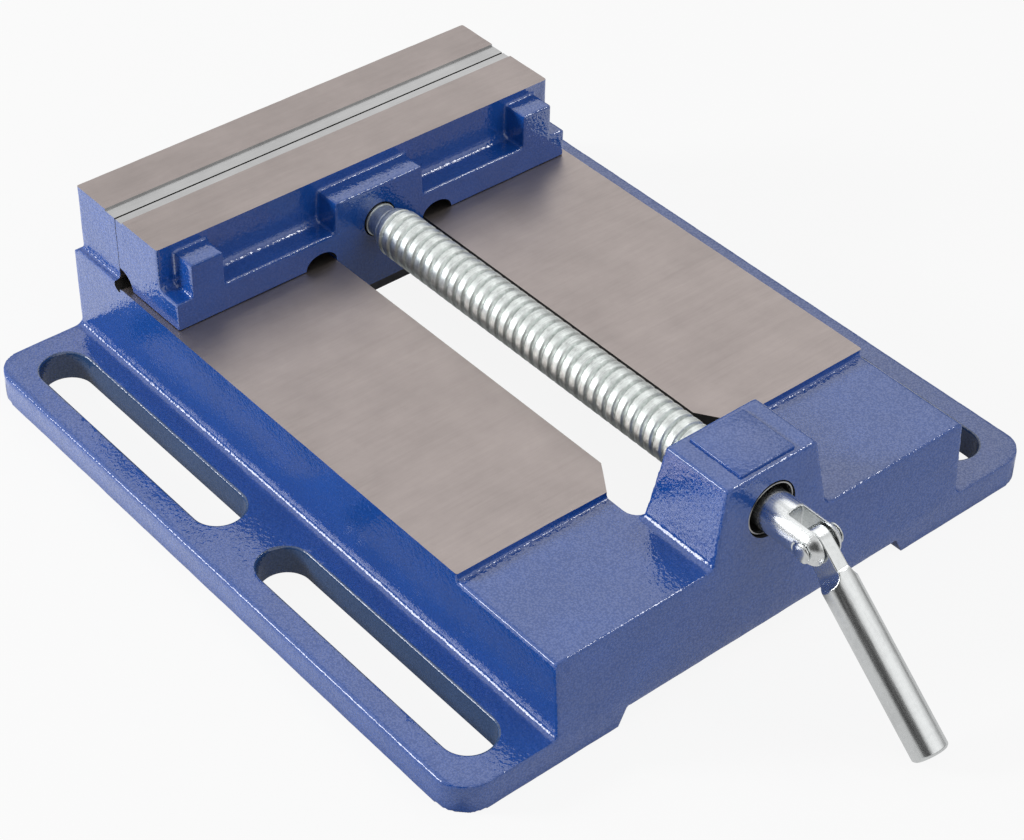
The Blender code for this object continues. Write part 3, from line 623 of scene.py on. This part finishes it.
def flange_and_body():
    """Flanges and body with the fillet at the wall's foot, as cast."""
    inner = BASE_HALF - BASE_CORNER
    plan = arc((inner, BASE_FRONT + BASE_CORNER), BASE_CORNER, 270, 360, 16)
    plan += arc((inner, BASE_REAR - BASE_CORNER), BASE_CORNER, 0, 90, 16)
    across = [(BASE_HALF, 0.0)]
    across += arc((BASE_HALF - FLANGE_EDGE, FLANGE_THICK - FLANGE_EDGE), FLANGE_EDGE, 0, 90, 4)
    across += arc((BODY_HALF + BODY_FILLET, FLANGE_THICK + BODY_FILLET), BODY_FILLET, 270, 180, 8)
    across += [(BODY_HALF, WAY_HEIGHT + STOCK)]
    side = [(BASE_REAR, 0.0), (BASE_REAR, WAY_HEIGHT), (FIXED_JAW_THICK, WAY_HEIGHT),
            (FIXED_JAW_THICK, WAY_HEIGHT + STOCK), (-WAY_LENGTH, WAY_HEIGHT + STOCK),
            (-WAY_LENGTH, BAR_TOP), (front_wall(BAR_TOP), BAR_TOP),
            (front_wall(FLANGE_THICK), FLANGE_THICK), (BASE_FRONT, 0.0)]
    ends = (BASE_FRONT - CUT, BASE_REAR + CUT)
    return common([prism("base", mirrored(across), "Y", *ends),
                   prism("side", side, "X", -BASE_HALF - CUT, BASE_HALF + CUT),
                   prism("plan", mirrored(plan), "Z", -CUT, WAY_HEIGHT + 2 * CUT)])


def bar_edge(side):
    """Cutter that rounds one long edge of the cross bar's top."""
    inner = BODY_HALF - BAR_EDGE
    outline = [(BODY_HALF + CUT, BAR_TOP + CUT), (inner, BAR_TOP + CUT)]
    outline += arc((inner, BAR_TOP - BAR_EDGE), BAR_EDGE, 90, 0, 6)
    outline += [(BODY_HALF + CUT, BAR_TOP - BAR_EDGE)]
    return prism("bar_edge", [(side * x, z) for x, z in outline], "Y", BASE_FRONT - CUT, -WAY_LENGTH)


def front_boss():
    """Drafted boss on the cross bar."""
    def half_at(height):
        return BOSS_HALF_TOP + BOSS_DRAFT * (BOSS_TOP - height)

    low = BAR_UNDER + CUT
    foot = BAR_TOP + BOSS_FILLET
    across = [(half_at(foot) + BOSS_FILLET, low)]
    across += arc((half_at(foot) + BOSS_FILLET, foot), BOSS_FILLET, 270, 180, 8)
    across += [(half_at(BOSS_TOP), BOSS_TOP)]
    rear_top = BOSS_REAR - BOSS_REAR_DRAFT * (BOSS_TOP - BAR_TOP)
    along = [(BOSS_REAR, low), (BOSS_REAR, BAR_TOP), (rear_top, BOSS_TOP),
             (front_wall(BOSS_TOP), BOSS_TOP), (front_wall(low), low)]
    return common([prism("boss", mirrored(across), "Y", BASE_FRONT - CUT, BOSS_REAR + CUT),
                   prism("boss_side", along, "X", -BASE_HALF, BASE_HALF)])


def boss_plate():
    """Plain raised plate on the boss, with a small rounded edge."""
    rear_top = BOSS_REAR - BOSS_REAR_DRAFT * (BOSS_TOP - BAR_TOP)
    middle = (rear_top + front_wall(BOSS_TOP)) / 2
    half = PAD_SIZE / 2
    pad = box("pad", (-half, middle - half, BOSS_TOP - CUT),
              (half, middle + half, BOSS_TOP + PAD_HEIGHT))
    edge = pad.modifiers.new("edge", "BEVEL")
    edge.width = PAD_EDGE * MM
    edge.segments = 3
    return applied(pad)


def fixed_jaw():
    """The jaw above the ways, with fillets at its foot and stock on its machined faces."""
    foot = JAW_FILLET
    over = JAW_TOP + STOCK
    across = [(JAW_HALF + foot, WAY_HEIGHT - foot)]
    across += arc((JAW_HALF + foot, WAY_HEIGHT + foot), foot, 270, 180, 6)
    across += [(JAW_HALF, over)]
    rear = FIXED_JAW_THICK
    along = [(-STOCK, WAY_HEIGHT - foot), (-STOCK, over), (rear, over)]
    along += arc((rear + foot, WAY_HEIGHT + foot), foot, 180, 270, 6)
    along += [(rear + foot, WAY_HEIGHT - foot)]
    return common([prism("fixed_jaw", mirrored(across), "Y", -CUT, BASE_REAR),
                   prism("fixed_jaw_side", along, "X", -BASE_HALF, BASE_HALF)])


def base_openings():
    """What is left open in the casting: the hollow underside and the arches."""
    wall = BODY_HALF - WALL
    rear = BASE_REAR - WALL
    front = BASE_FRONT + WALL
    guide = GUIDE_HALF + GUIDE_RIB
    tools = [box("hollow", (-wall, front, -CUT), (wall, rear, GUIDE_UNDER))]
    bay_ends = [rear]
    for number in range(RIB_COUNT):
        middle = rear - (rear + WAY_LENGTH) * (number + 1) / (RIB_COUNT + 1)
        bay_ends += [middle + RIB_THICK / 2, middle - RIB_THICK / 2]
    bay_ends += [-WAY_LENGTH + WAY_THICK]
    for sign in (-1, 1):
        for high, low in zip(bay_ends[0::2], bay_ends[1::2]):
            edges = sorted((sign * guide, sign * wall))
            tools.append(box("bay", (edges[0], low, GUIDE_UNDER - CUT), (edges[1], high, WAY_UNDER)))
        edges = sorted((sign * (guide + GUIDE_FLARE), sign * wall))
        tools.append(box("front_bay", (edges[0], front, GUIDE_UNDER - CUT),
                         (edges[1], -WAY_LENGTH + WAY_THICK - RIB_THICK, BAR_UNDER)))
    arch = [(ARCH_HALF, -CUT), (ARCH_HALF, 0.0), (ARCH_HALF - ARCH_SLOPE, ARCH_HEIGHT)]
    tools.append(prism("arch", mirrored(arch), "Y", BASE_FRONT - CUT, BASE_REAR + CUT))
    return tools


def guide_slot():
    """Cutter for the slot between the ways that the moving jaw's tongue runs in."""
    wide = GUIDE_HALF + GUIDE_FLARE
    right = [(GUIDE_HALF, -GUIDE_REAR), (GUIDE_HALF, -WAY_LENGTH + GUIDE_FLARE_LENGTH),
             (wide, -WAY_LENGTH)]
    right += arc((wide - GUIDE_CORNER, -GUIDE_END + GUIDE_CORNER), GUIDE_CORNER, 0, -90, 6)
    left = mirrored(right)[len(right):]
    right = [(x + GUIDE_EXTRA, y) for x, y in right]
    return prism("guide", right + left, "Z", -CUT, WAY_HEIGHT + 2 * CUT)


def flange_slot(x, y):
    """Cutter for one clamping slot, with a rounded upper edge."""
    reach = SLOT_LENGTH / 2 - SLOT_WIDTH / 2
    levels = [(-CUT, 0.0), (FLANGE_THICK - SLOT_EDGE, 0.0)]
    for grow, rise in arc((SLOT_EDGE, 0.0), SLOT_EDGE, 180, 90, 5)[1:]:
        levels.append((FLANGE_THICK - SLOT_EDGE + rise, grow))
    levels.append((FLANGE_THICK + CUT, SLOT_EDGE))
    rings = []
    for height, grow in levels:
        radius = SLOT_WIDTH / 2 + grow
        outline = arc((x, y + reach), radius, 0, 180, 24) + arc((x, y - reach), radius, 180, 360, 24)
        rings.append([(*pair, height) for pair in outline])
    return lofted("slot", rings)


def worn_corner():
    """Cutter that slopes the front inner corner of the left way down a little."""
    inner = -GUIDE_HALF - GUIDE_FLARE
    low = [(inner + across, along - WAY_LENGTH, WAY_HEIGHT + drop)
           for across, along, drop in WORN_CORNER]
    high = [(x, y, WAY_HEIGHT + CUT) for x, y, _ in low]
    return lofted("corner", [low, high])


def across_cut(name, low_y, low_z, high_y, high_z):
    """A cutter right across the vise."""
    return box(name, (-BODY_HALF - CUT, low_y, low_z), (BODY_HALF + CUT, high_y, high_z))


def front_bore():
    """Cutter for the front bore: its wide mouth, a narrow lip and the bore behind them."""
    profile = [(BASE_FRONT - CUT, MOUTH_RADIUS), (BOSS_FRONT + RING_DEPTH, MOUTH_RADIUS),
               (BOSS_FRONT + RING_DEPTH, RING_RADIUS), (BOSS_FRONT + RING_DEPTH + LIP_RAMP, BORE_LIP),
               (BOSS_FRONT + LIP_END, BORE_LIP), (BOSS_FRONT + LIP_BREAK, BORE_RADIUS),
               (BOSS_REAR + CUT, BORE_RADIUS)]
    return turned("bore", profile, "Y", (0, 0, AXIS_HEIGHT))


def bore_ring(dark):
    """Pale ring that stands in the mouth of the front bore."""
    ring = [(BOSS_FRONT + RING_STEP, RING_RADIUS), (BOSS_FRONT + RING_END, RING_RADIUS)]
    ring = turned("ring", ring, "Y", (0, 0, AXIS_HEIGHT))
    hole = [(BOSS_FRONT - CUT, BORE_LIP), (BOSS_FRONT + 2 * CUT, BORE_LIP)]
    return carve(ring, [turned("hole", hole, "Y", (0, 0, AXIS_HEIGHT))], finish=dark)


def make_base(paint, slot_paint_shaded, iron, strip, dark):
    """Base casting with its fixed jaw: cast skin first, then the machined cuts."""
    base = joined([flange_and_body(), front_boss(), fixed_jaw()])
    carve(base, base_openings() + [bar_edge(-1), bar_edge(1)])
    cast(base, *BASE_SKIN)
    coated(base, paint)
    over = JAW_TOP + 2 * CUT
    slots = [flange_slot(x, y) for x in (-SLOT_CENTRE_X, SLOT_CENTRE_X) for y in SLOT_CENTRES_Y]
    # the slot walls take the darker enamel, painted shade of the recessed slots
    carve(base, slots, finish=slot_paint_shaded)
    carve(base, [across_cut("ways", -WAY_LENGTH - CUT, WAY_HEIGHT, -RELIEF_OFFSET, over)], finish=iron)
    carve(base, [worn_corner()], finish=iron)
    # painted shade: the guide slot's walls take the near-black oily finish
    carve(base, [guide_slot()], finish=dark)
    carve(base, [across_cut("face", -CUT, WAY_HEIGHT + RELIEF_RAISE, 0.0, over)], finish=iron)
    carve(base, [across_cut("top", -CUT, JAW_TOP, BASE_REAR + CUT, over)], finish=iron)
    carve(base, [across_cut("step", -CUT, JAW_TOP - STEP_DEPTH, FIXED_STEP, over)], finish=strip)
    # painted shade: the broken corner is near black, darkening the parting line between the jaws
    carve(base, [across_cut("break", -CUT, JAW_TOP - STEP_DEPTH - BREAK_DEPTH, BREAK_WIDTH, over)],
          finish=dark)
    groove = (0, -RELIEF_OFFSET, WAY_HEIGHT + RELIEF_RAISE)
    carve(base, [rod("groove", RELIEF_RADIUS, "X", -BODY_HALF, BODY_HALF, groove, 24)], finish=dark)
    carve(base, [boss_plate()], "UNION", finish=paint)
    carve(base, [front_bore()], finish=dark)
    carve(base, [bore_ring(dark)], "UNION", finish=strip)
    carve(base, [box("bottom", (-BASE_HALF - CUT, BASE_FRONT - CUT, -CUT),
                     (BASE_HALF + CUT, BASE_REAR + CUT, BOTTOM_SKIM))], finish=iron)
    dress(shade(base), "base", "base_casting")


def jaw_body():
    """The moving jaw as cast: block, foot, centre boss and lugs, with stock to machine."""
    reach = -MOVING_JAW_REACH
    front = -MOVING_JAW_THICK
    low = JAW_BOTTOM - STOCK
    over = JAW_TOP + STOCK
    side = [(STOCK, low), (STOCK, over), (front, over)]
    side += arc((front - FOOT_FILLET, FOOT_TOP + FOOT_FILLET), FOOT_FILLET, 0, -90, 8)
    side += [(reach, FOOT_TOP), (reach, low)]
    body = prism("moving_jaw_cast", side, "X", -JAW_HALF, JAW_HALF)
    root = JAW_BOTTOM + OVERLAP
    boss = [(BOSS_HALF_TOP + JAW_BOSS_DRAFT * (JAW_BOSS_TOP - root), root),
            (BOSS_HALF_TOP, JAW_BOSS_TOP)]
    pieces = [body, prism("boss", mirrored(boss), "Y", reach, front + CUT)]
    for x in (LUG_MARGIN - JAW_HALF, JAW_HALF - LUG_MARGIN - LUG_WIDTH):
        pieces.append(box("lug", (x, reach, root), (x + LUG_WIDTH, front + CUT, LUG_TOP)))
    return joined(pieces)


def jaw_relief():
    """Cutter for the black notch at the foot of the parting line."""
    outline = [(CUT, JAW_BOTTOM - CUT), (CUT, JAW_BOTTOM + JAW_RELIEF_HEIGHT)]
    for across, up in arc((0.0, 0.0), 1.0, 90, 0, 10):
        outline.append((-JAW_CLOSED_GAP - JAW_RELIEF_DEPTH * across,
                        JAW_BOTTOM + JAW_RELIEF_HEIGHT * up))
    outline.append((-JAW_CLOSED_GAP - JAW_RELIEF_DEPTH, JAW_BOTTOM - CUT))
    return prism("relief", outline, "X", -JAW_HALF - CUT, JAW_HALF + CUT)


def chip_notch(side):
    """Cutter for the half-round notch under the foot, beside the tongue."""
    middle = side * (TONGUE_HALF + CHIP_NOTCH_WIDTH / 2)
    notch = []
    for across, up in arc((0.0, 0.0), 1.0, 0, 180, 20):
        notch.append((middle + CHIP_NOTCH_WIDTH / 2 * across, JAW_BOTTOM + CHIP_NOTCH_HEIGHT * up))
    low = JAW_BOTTOM - CUT
    notch += [(notch[-1][0], low), (notch[0][0], low)]
    return prism("notch", notch, "Y", -MOVING_JAW_REACH - CUT, CUT)


def make_moving_jaw(paint, iron, strip, dark):
    """Sliding jaw: cast skin, then its machined top, strip, face, bottom and tongue."""
    jaw = jaw_body()
    cast(jaw, *JAW_SKIN)
    coated(jaw, paint)
    # painted shade: the notches take the near-black oily finish
    carve(jaw, [jaw_relief(), chip_notch(-1), chip_notch(1)], finish=dark)
    over = JAW_TOP + 2 * CUT
    face = -JAW_CLOSED_GAP
    carve(jaw, [across_cut("face", face, JAW_BOTTOM - CUT, CUT + STOCK, over)], finish=iron)
    carve(jaw, [across_cut("bottom", -2 * MOVING_JAW_REACH, JAW_BOTTOM - 2 * CUT, CUT, JAW_BOTTOM)],
          finish=iron)
    carve(jaw, [across_cut("top", -2 * MOVING_JAW_REACH, JAW_TOP, CUT, over)], finish=iron)
    carve(jaw, [across_cut("step", -MOVING_STEP, JAW_TOP - STEP_DEPTH, CUT, over)], finish=strip)
    # painted shade: the broken corner is near black, darkening the parting line between the jaws
    carve(jaw, [across_cut("break", face - BREAK_WIDTH, JAW_TOP - STEP_DEPTH - BREAK_DEPTH, CUT, over)],
          finish=dark)
    tongue = box("tongue", (-TONGUE_HALF, -MOVING_JAW_REACH, TONGUE_BOTTOM),
                 (TONGUE_HALF, TONGUE_REAR, JAW_BOTTOM + OVERLAP))
    carve(jaw, [tongue], "UNION", finish=paint)
    front = -MOVING_JAW_REACH
    bore = [(front - CUT, NECK_BORE + BORE_CHAMFER), (front + BORE_CHAMFER, NECK_BORE + BORE_CHAMFER),
            (front + 2 * BORE_CHAMFER, NECK_BORE), (NECK_END + SEAT_GAP, NECK_BORE)]
    carve(jaw, [turned("bore", bore, "Y", (0, 0, AXIS_HEIGHT))], finish=dark)
    low = TONGUE_BOTTOM - CUT
    holes = []
    for side in (-1, 1):
        holes.append(rod("pin_hole", SCREW_PIN_HOLE, "Z", low, SCREW_PIN_TOP,
                         (side * SCREW_PIN_X, -SCREW_PIN_BACK, 0), 32))
        holes.append(rod("bolt_hole", BOLT_HOLE, "Z", low, TONGUE_BOTTOM + BOLT_GRIP,
                         (side * BOLT_SPREAD / 2, -BOLT_BACK, 0), 32))
    carve(jaw, holes, finish=iron)
    dress(shade(jaw), "jaw", "moving_jaw")


def thread_radius(along, angle):
    """Radius of the rolled thread: broad round crests, narrow valleys."""
    ramp = min(1.0, (THREAD_START - along) / THREAD_PITCH, (along - THREAD_STOP) / THREAD_PITCH)
    turn = (along - THREAD_PHASE) / THREAD_PITCH + angle / (2 * math.pi)
    valley = (0.5 + 0.5 * math.cos(2 * math.pi * turn)) ** THREAD_VALLEY
    lift = max(0.0, ramp) * (1.0 - valley)
    return THREAD_ROOT + (THREAD_RADIUS - THREAD_ROOT) * lift


def screw_rod():
    """Neck, thread and plain shank as one turned body, up to where the forked head begins."""
    segments = 72
    per_pitch = 18
    stations = [(NECK_END, NECK_RADIUS - NECK_CHAMFER), (NECK_END - NECK_CHAMFER, NECK_RADIUS)]
    groove_low = -SCREW_PIN_BACK - SCREW_PIN_HOLE
    groove_high = -SCREW_PIN_BACK + SCREW_PIN_HOLE
    stations += [(groove_high, NECK_RADIUS), (groove_high, GROOVE_RADIUS),
                 (groove_low, GROOVE_RADIUS), (groove_low, NECK_RADIUS)]
    stations += [(COLLAR_START - back, radius) for back, radius in COLLAR_PROFILE]
    stations += [(THREAD_START + ahead, NECK_RADIUS + rise) for ahead, rise in LEAD_IN]
    count = round((THREAD_START - THREAD_STOP) / THREAD_PITCH * per_pitch)
    for step in range(count + 1):
        stations.append((THREAD_START + (THREAD_STOP - THREAD_START) * step / count, None))
    stations += [(HEAD_START, THREAD_ROOT), (HEAD_START - SHANK_RUN, THREAD_ROOT - SHANK_TAPER)]
    rings = []
    for along, radius in stations:
        ring = []
        for step in range(segments):
            angle = 2 * math.pi * step / segments
            here = radius if radius is not None else thread_radius(along, angle)
            ring.append((here * math.cos(angle), along, AXIS_HEIGHT + here * math.sin(angle)))
        rings.append(ring)
    return lofted("screw_zinc", rings)


def screw_head():
    """Forked head: a round bar end with a slot for the handle and seats for the rivet."""
    profile = [(HEAD_START, HEAD_RADIUS)]
    profile += [(PIN_Y - FORK_DOME * up, HEAD_RADIUS * across)
                for across, up in arc((0.0, 0.0), 1.0, 0, DOME_SWEEP, 10)]
    head = turned("head", profile, "Y", (0, 0, AXIS_HEIGHT), 96)
    reach = HEAD_RADIUS + CUT
    centre = (0, PIN_Y, AXIS_HEIGHT)
    tools = [box("fork_slot", (-FORK_SLOT_HALF, PIN_Y - FORK_DOME - CUT, AXIS_HEIGHT - reach),
                 (FORK_SLOT_HALF, PIN_Y + FORK_SLOT_DEPTH, AXIS_HEIGHT + reach)),
             rod("rivet_hole", RIVET_RADIUS + SEAT_GAP, "X", -reach, reach, centre)]
    for ends in ((-reach, -FORK_FLAT), (FORK_FLAT, reach)):
        tools.append(rod("rivet_seat", RIVET_SEAT, "X", *ends, centre))
    carve(head, tools)
    return cast(head, *HEAD_SKIN)


def make_screw(thread_zinc, head_zinc):
    screw = joined([coated(screw_rod(), thread_zinc), coated(screw_head(), head_zinc)])
    dress(shade(screw, FORGED_SHARP), "screw", "lead_screw")


def make_rivet(zinc):
    """Cross pin with two hammered heads."""
    dome = [(FORK_FLAT + SEAT_GAP + (RIVET_END - FORK_FLAT - SEAT_GAP) * up, RIVET_HEAD * across)
            for across, up in arc((0.0, 0.0), 1.0, 0, DOME_SWEEP, 8)]
    right = [(FORK_FLAT + SEAT_GAP, RIVET_RADIUS), *dome]
    left = [(-along, radius) for along, radius in reversed(right)]
    rivet = turned("rivet_zinc", left + right, "X", (0, PIN_Y, AXIS_HEIGHT))
    cast(rivet, *RIVET_SKIN)
    coated(rivet, zinc)
    dress(shade(rivet, RIVET_SHARP), "screw", "handle_rivet")


def shoulder_cutter(side):
    """Cutter for one side of the tongue, ending in the round left by the milling tool."""
    root = PIN_Y - TONGUE_ROOT
    wide = BAR_RADIUS + CUT
    outline = [(TONGUE_SIDE, PIN_Y + wide), (TONGUE_SIDE, root)]
    outline += arc((TONGUE_SIDE + SHOULDER_RADIUS, root), SHOULDER_RADIUS, 180, 270, 10)[1:]
    outline += [(wide, root - SHOULDER_RADIUS), (wide, PIN_Y + wide)]
    outline = [(side * x, y) for x, y in outline]
    return prism("shoulder", outline, "Z", AXIS_HEIGHT - wide, AXIS_HEIGHT + wide)


def make_handle(zinc):
    """Round bar with a milled tongue, which runs down from the rivet to the table."""
    pin = (0, PIN_Y, AXIS_HEIGHT)
    profile = [(BAR_RADIUS, BAR_RADIUS), (-BAR_REACH + BAR_CHAMFER, BAR_RADIUS),
               (-BAR_REACH, BAR_RADIUS - BAR_CHAMFER)]
    bar = turned("handle_zinc", profile, "Y", pin, 96)
    root = PIN_Y - TONGUE_ROOT
    wide = BAR_RADIUS + CUT
    tongue = arc((PIN_Y, AXIS_HEIGHT), TONGUE_RISE, 90, -90, 24)
    tongue += [(root, AXIS_HEIGHT - TONGUE_RISE), (root - TONGUE_FLARE, AXIS_HEIGHT - wide),
               (PIN_Y - BAR_REACH - CUT, AXIS_HEIGHT - wide),
               (PIN_Y - BAR_REACH - CUT, AXIS_HEIGHT + wide), (root - TONGUE_FLARE, AXIS_HEIGHT + wide),
               (root, AXIS_HEIGHT + TONGUE_RISE)]
    carve(bar, [prism("tongue", tongue, "X", -wide, wide)], "INTERSECT")
    carve(bar, [shoulder_cutter(-1), shoulder_cutter(1),
                rod("hole", RIVET_RADIUS + SEAT_GAP, "X", -wide, wide, pin)])
    cast(bar, *BAR_SKIN)
    centre = (Vector(pin) + DATUM) * MM
    bar.data.transform(Matrix.Translation(centre)
                       @ Matrix.Rotation(math.radians(HANDLE_ANGLE), 4, "X")
                       @ Matrix.Translation(-centre))
    coated(bar, zinc)
    dress(shade(bar, FORGED_SHARP), "handle", "handle_bar")


def dress_hidden_steel():
    """Finish of the keeper, its bolts and washers and the roll pins: soft edges and worn steel."""
    for start, material, colour, roughness in HIDDEN_STEEL:
        finish = steel_material(material, colour, roughness)
        for name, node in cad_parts.items():
            if name.startswith(start):
                node.data.materials[0] = finish
                edge = node.modifiers.new("soft_edges", "BEVEL")
                edge.width = HIDDEN_EDGE * MM
                edge.segments = 2
                edge.limit_method = "ANGLE"


def aim(thing, target, roll=0.0):
    """Turn a camera or lamp towards a point."""
    way = Vector(target) - thing.location
    thing.rotation_euler = (way.to_track_quat("-Z", "Y").to_matrix().to_4x4()
                            @ Matrix.Rotation(math.radians(roll), 4, "Z")).to_euler()


def make_camera():
    data = bpy.data.cameras.new("photo_camera")
    data.sensor_width = CAMERA_SENSOR
    data.lens = CAMERA_LENS
    data.clip_end = CAMERA_REACH
    camera = bpy.data.objects.new("photo_camera", data)
    bpy.context.scene.collection.objects.link(camera)
    camera.location = Vector(CAMERA_SPOT) * MM
    aim(camera, Vector(CAMERA_AIM) * MM, CAMERA_ROLL)
    bpy.context.scene.camera = camera


def make_lamp(name, way, distance, size, power, mirrored_too):
    """A round soft lamp in a direction from the vise; it may be left out of reflections."""
    data = bpy.data.lights.new(name, "AREA")
    data.shape = "DISK"
    data.size = size
    data.energy = power
    lamp = bpy.data.objects.new(name, data)
    bpy.context.scene.collection.objects.link(lamp)
    lamp.location = Vector(way).normalized() * distance
    lamp.visible_glossy = mirrored_too
    aim(lamp, LAMP_AIM)


def make_floor():
    """Plain pale floor that keeps the shadow; it looks white, with a glow of its own in reflections
    that carries a painted shadow under the vise.
    """
    shape = bmesh.new()
    bmesh.ops.create_grid(shape, x_segments=1, y_segments=1, size=FLOOR_SIZE)
    mesh = bpy.data.meshes.new("floor")
    shape.to_mesh(mesh)
    shape.free()
    floor = bpy.data.objects.new("floor", mesh)
    bpy.context.scene.collection.objects.link(floor)
    material = bpy.data.materials.new("pale_floor")
    material.use_nodes = True
    nodes = Nodes(material.node_tree)
    nodes.tree.nodes.clear()
    place = nodes.node("ShaderNodeTexCoord").outputs["Object"]
    across, along = nodes.parts(place)[:2]
    low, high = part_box("base_casting")
    half = (high - low) / 2
    middle = (high.y + low.y) / 2
    far = nodes.node("ShaderNodeVectorMath", {0: place}, operation="LENGTH").outputs["Value"]
    mirrored_light = nodes.math("MULTIPLY", nodes.ramp(along, *FLOOR_RISE, *FLOOR_GLOW, smooth=True),
                                nodes.ramp(far, *FLOOR_FADE, 1.0, FLOOR_FAR, smooth=True))
    # painted shadow: the floor's glow in reflections drops under the vise's footprint
    centred = nodes.math("ABSOLUTE", nodes.math("SUBTRACT", along, middle))
    beside = nodes.math("MAXIMUM",
                        nodes.math("SUBTRACT", nodes.math("ABSOLUTE", across), half.x - UNDER_INSET),
                        nodes.math("SUBTRACT", centred, half.y - UNDER_INSET))
    mirrored_light = nodes.math("MULTIPLY", mirrored_light,
                                nodes.ramp(beside, *UNDER_RISE, UNDER_SHADOW_GLOW, 1.0, smooth=True))
    camera = nodes.rays("Camera")
    strength = nodes.math("ADD", nodes.math("MULTIPLY", mirrored_light, nodes.rays("Glossy")), camera)
    white = nodes.node("ShaderNodeEmission", {"Color": (1.0, 1.0, 1.0, 1.0), "Strength": strength})
    plain = nodes.node("ShaderNodeBsdfDiffuse", {"Color": (*FLOOR_COLOUR, 1.0)})
    share = nodes.math("MULTIPLY", nodes.rays("Camera", "Glossy"), FLOOR_WHITE)
    mix = nodes.node("ShaderNodeMixShader", {0: share, 1: plain.outputs[0], 2: white.outputs[0]})
    nodes.node("ShaderNodeOutputMaterial", {"Surface": mix.outputs[0]})
    floor.data.materials.append(material)


def make_world():
    """White studio: plain light, and in reflections a darker horizon and a few soft lights."""
    world = bpy.data.worlds.new("studio")
    bpy.context.scene.world = world
    world.use_nodes = True
    nodes = Nodes(world.node_tree)
    nodes.tree.nodes.clear()
    way = nodes.node("ShaderNodeTexCoord").outputs["Generated"]
    sky = nodes.ramp(nodes.parts(way)[2], *SKY_RISE, *SKY_GLOW, smooth=True)
    for lobe, start, full, outside, inside in SKY_LOBES:
        near = nodes.node("ShaderNodeVectorMath", {0: way, 1: Vector(lobe).normalized()},
                          operation="DOT_PRODUCT").outputs["Value"]
        sky = nodes.math("MULTIPLY", sky, nodes.ramp(near, start, full, outside, inside, smooth=True))
    glossy = nodes.rays("Glossy", "Transmission")
    camera = nodes.rays("Camera")
    other = nodes.math("SUBTRACT", 1.0, nodes.math("MAXIMUM", glossy, camera))
    strength = nodes.math("ADD", nodes.math("MULTIPLY", other, SKY_PLAIN),
                          nodes.math("ADD", camera, nodes.math("MULTIPLY", glossy, sky)))
    light = nodes.node("ShaderNodeBackground", {"Color": (1.0, 1.0, 1.0, 1.0), "Strength": strength})
    nodes.node("ShaderNodeOutputWorld", {"Surface": light.outputs[0]})


bpy.context.scene.view_settings.view_transform = "Standard"
make_camera()
make_floor()
make_world()
for lamp_values in LAMPS:
    make_lamp(*lamp_values)

blue = paint_material("blue_enamel", colour=(0.009, 0.064, 0.30))
# Darker, greyer copy of the blue enamel for the flange slots' walls: painted shade inside the slots
slot_blue_shaded = paint_material("slot_enamel_painted_shade", colour=(0.024, 0.062, 0.16))
iron_way = machined_material("ground_iron", colour=(0.40, 0.35, 0.335), roughness=0.42)
iron_strip = machined_material("ground_iron_strip", colour=(0.50, 0.50, 0.50), roughness=0.36)
# Oily cut iron, darkened to near black as painted shade of recesses and the parting line
oily_shade = oily_and_shade_material("oily_iron_painted_shade")
zinc = zinc_material("bright_zinc", colour=(0.82, 0.86, 0.84), roughness=0.42,
                     scale=TURNED_MARKS, mottle=0.7)
head_zinc = zinc_material("head_zinc", colour=(0.9, 0.92, 0.92), roughness=0.24,
                          scale=DRAWN_MARKS, mottle=0.82)
bar_zinc = zinc_material("bar_zinc", colour=(0.86, 0.88, 0.88), roughness=0.25,
                         scale=DRAWN_MARKS, mottle=0.88)
make_base(blue, slot_blue_shaded, iron_way, iron_strip, oily_shade)
make_moving_jaw(blue, iron_way, iron_strip, oily_shade)
make_screw(zinc, head_zinc)
make_rivet(head_zinc)
make_handle(bar_zinc)
dress_hidden_steel()
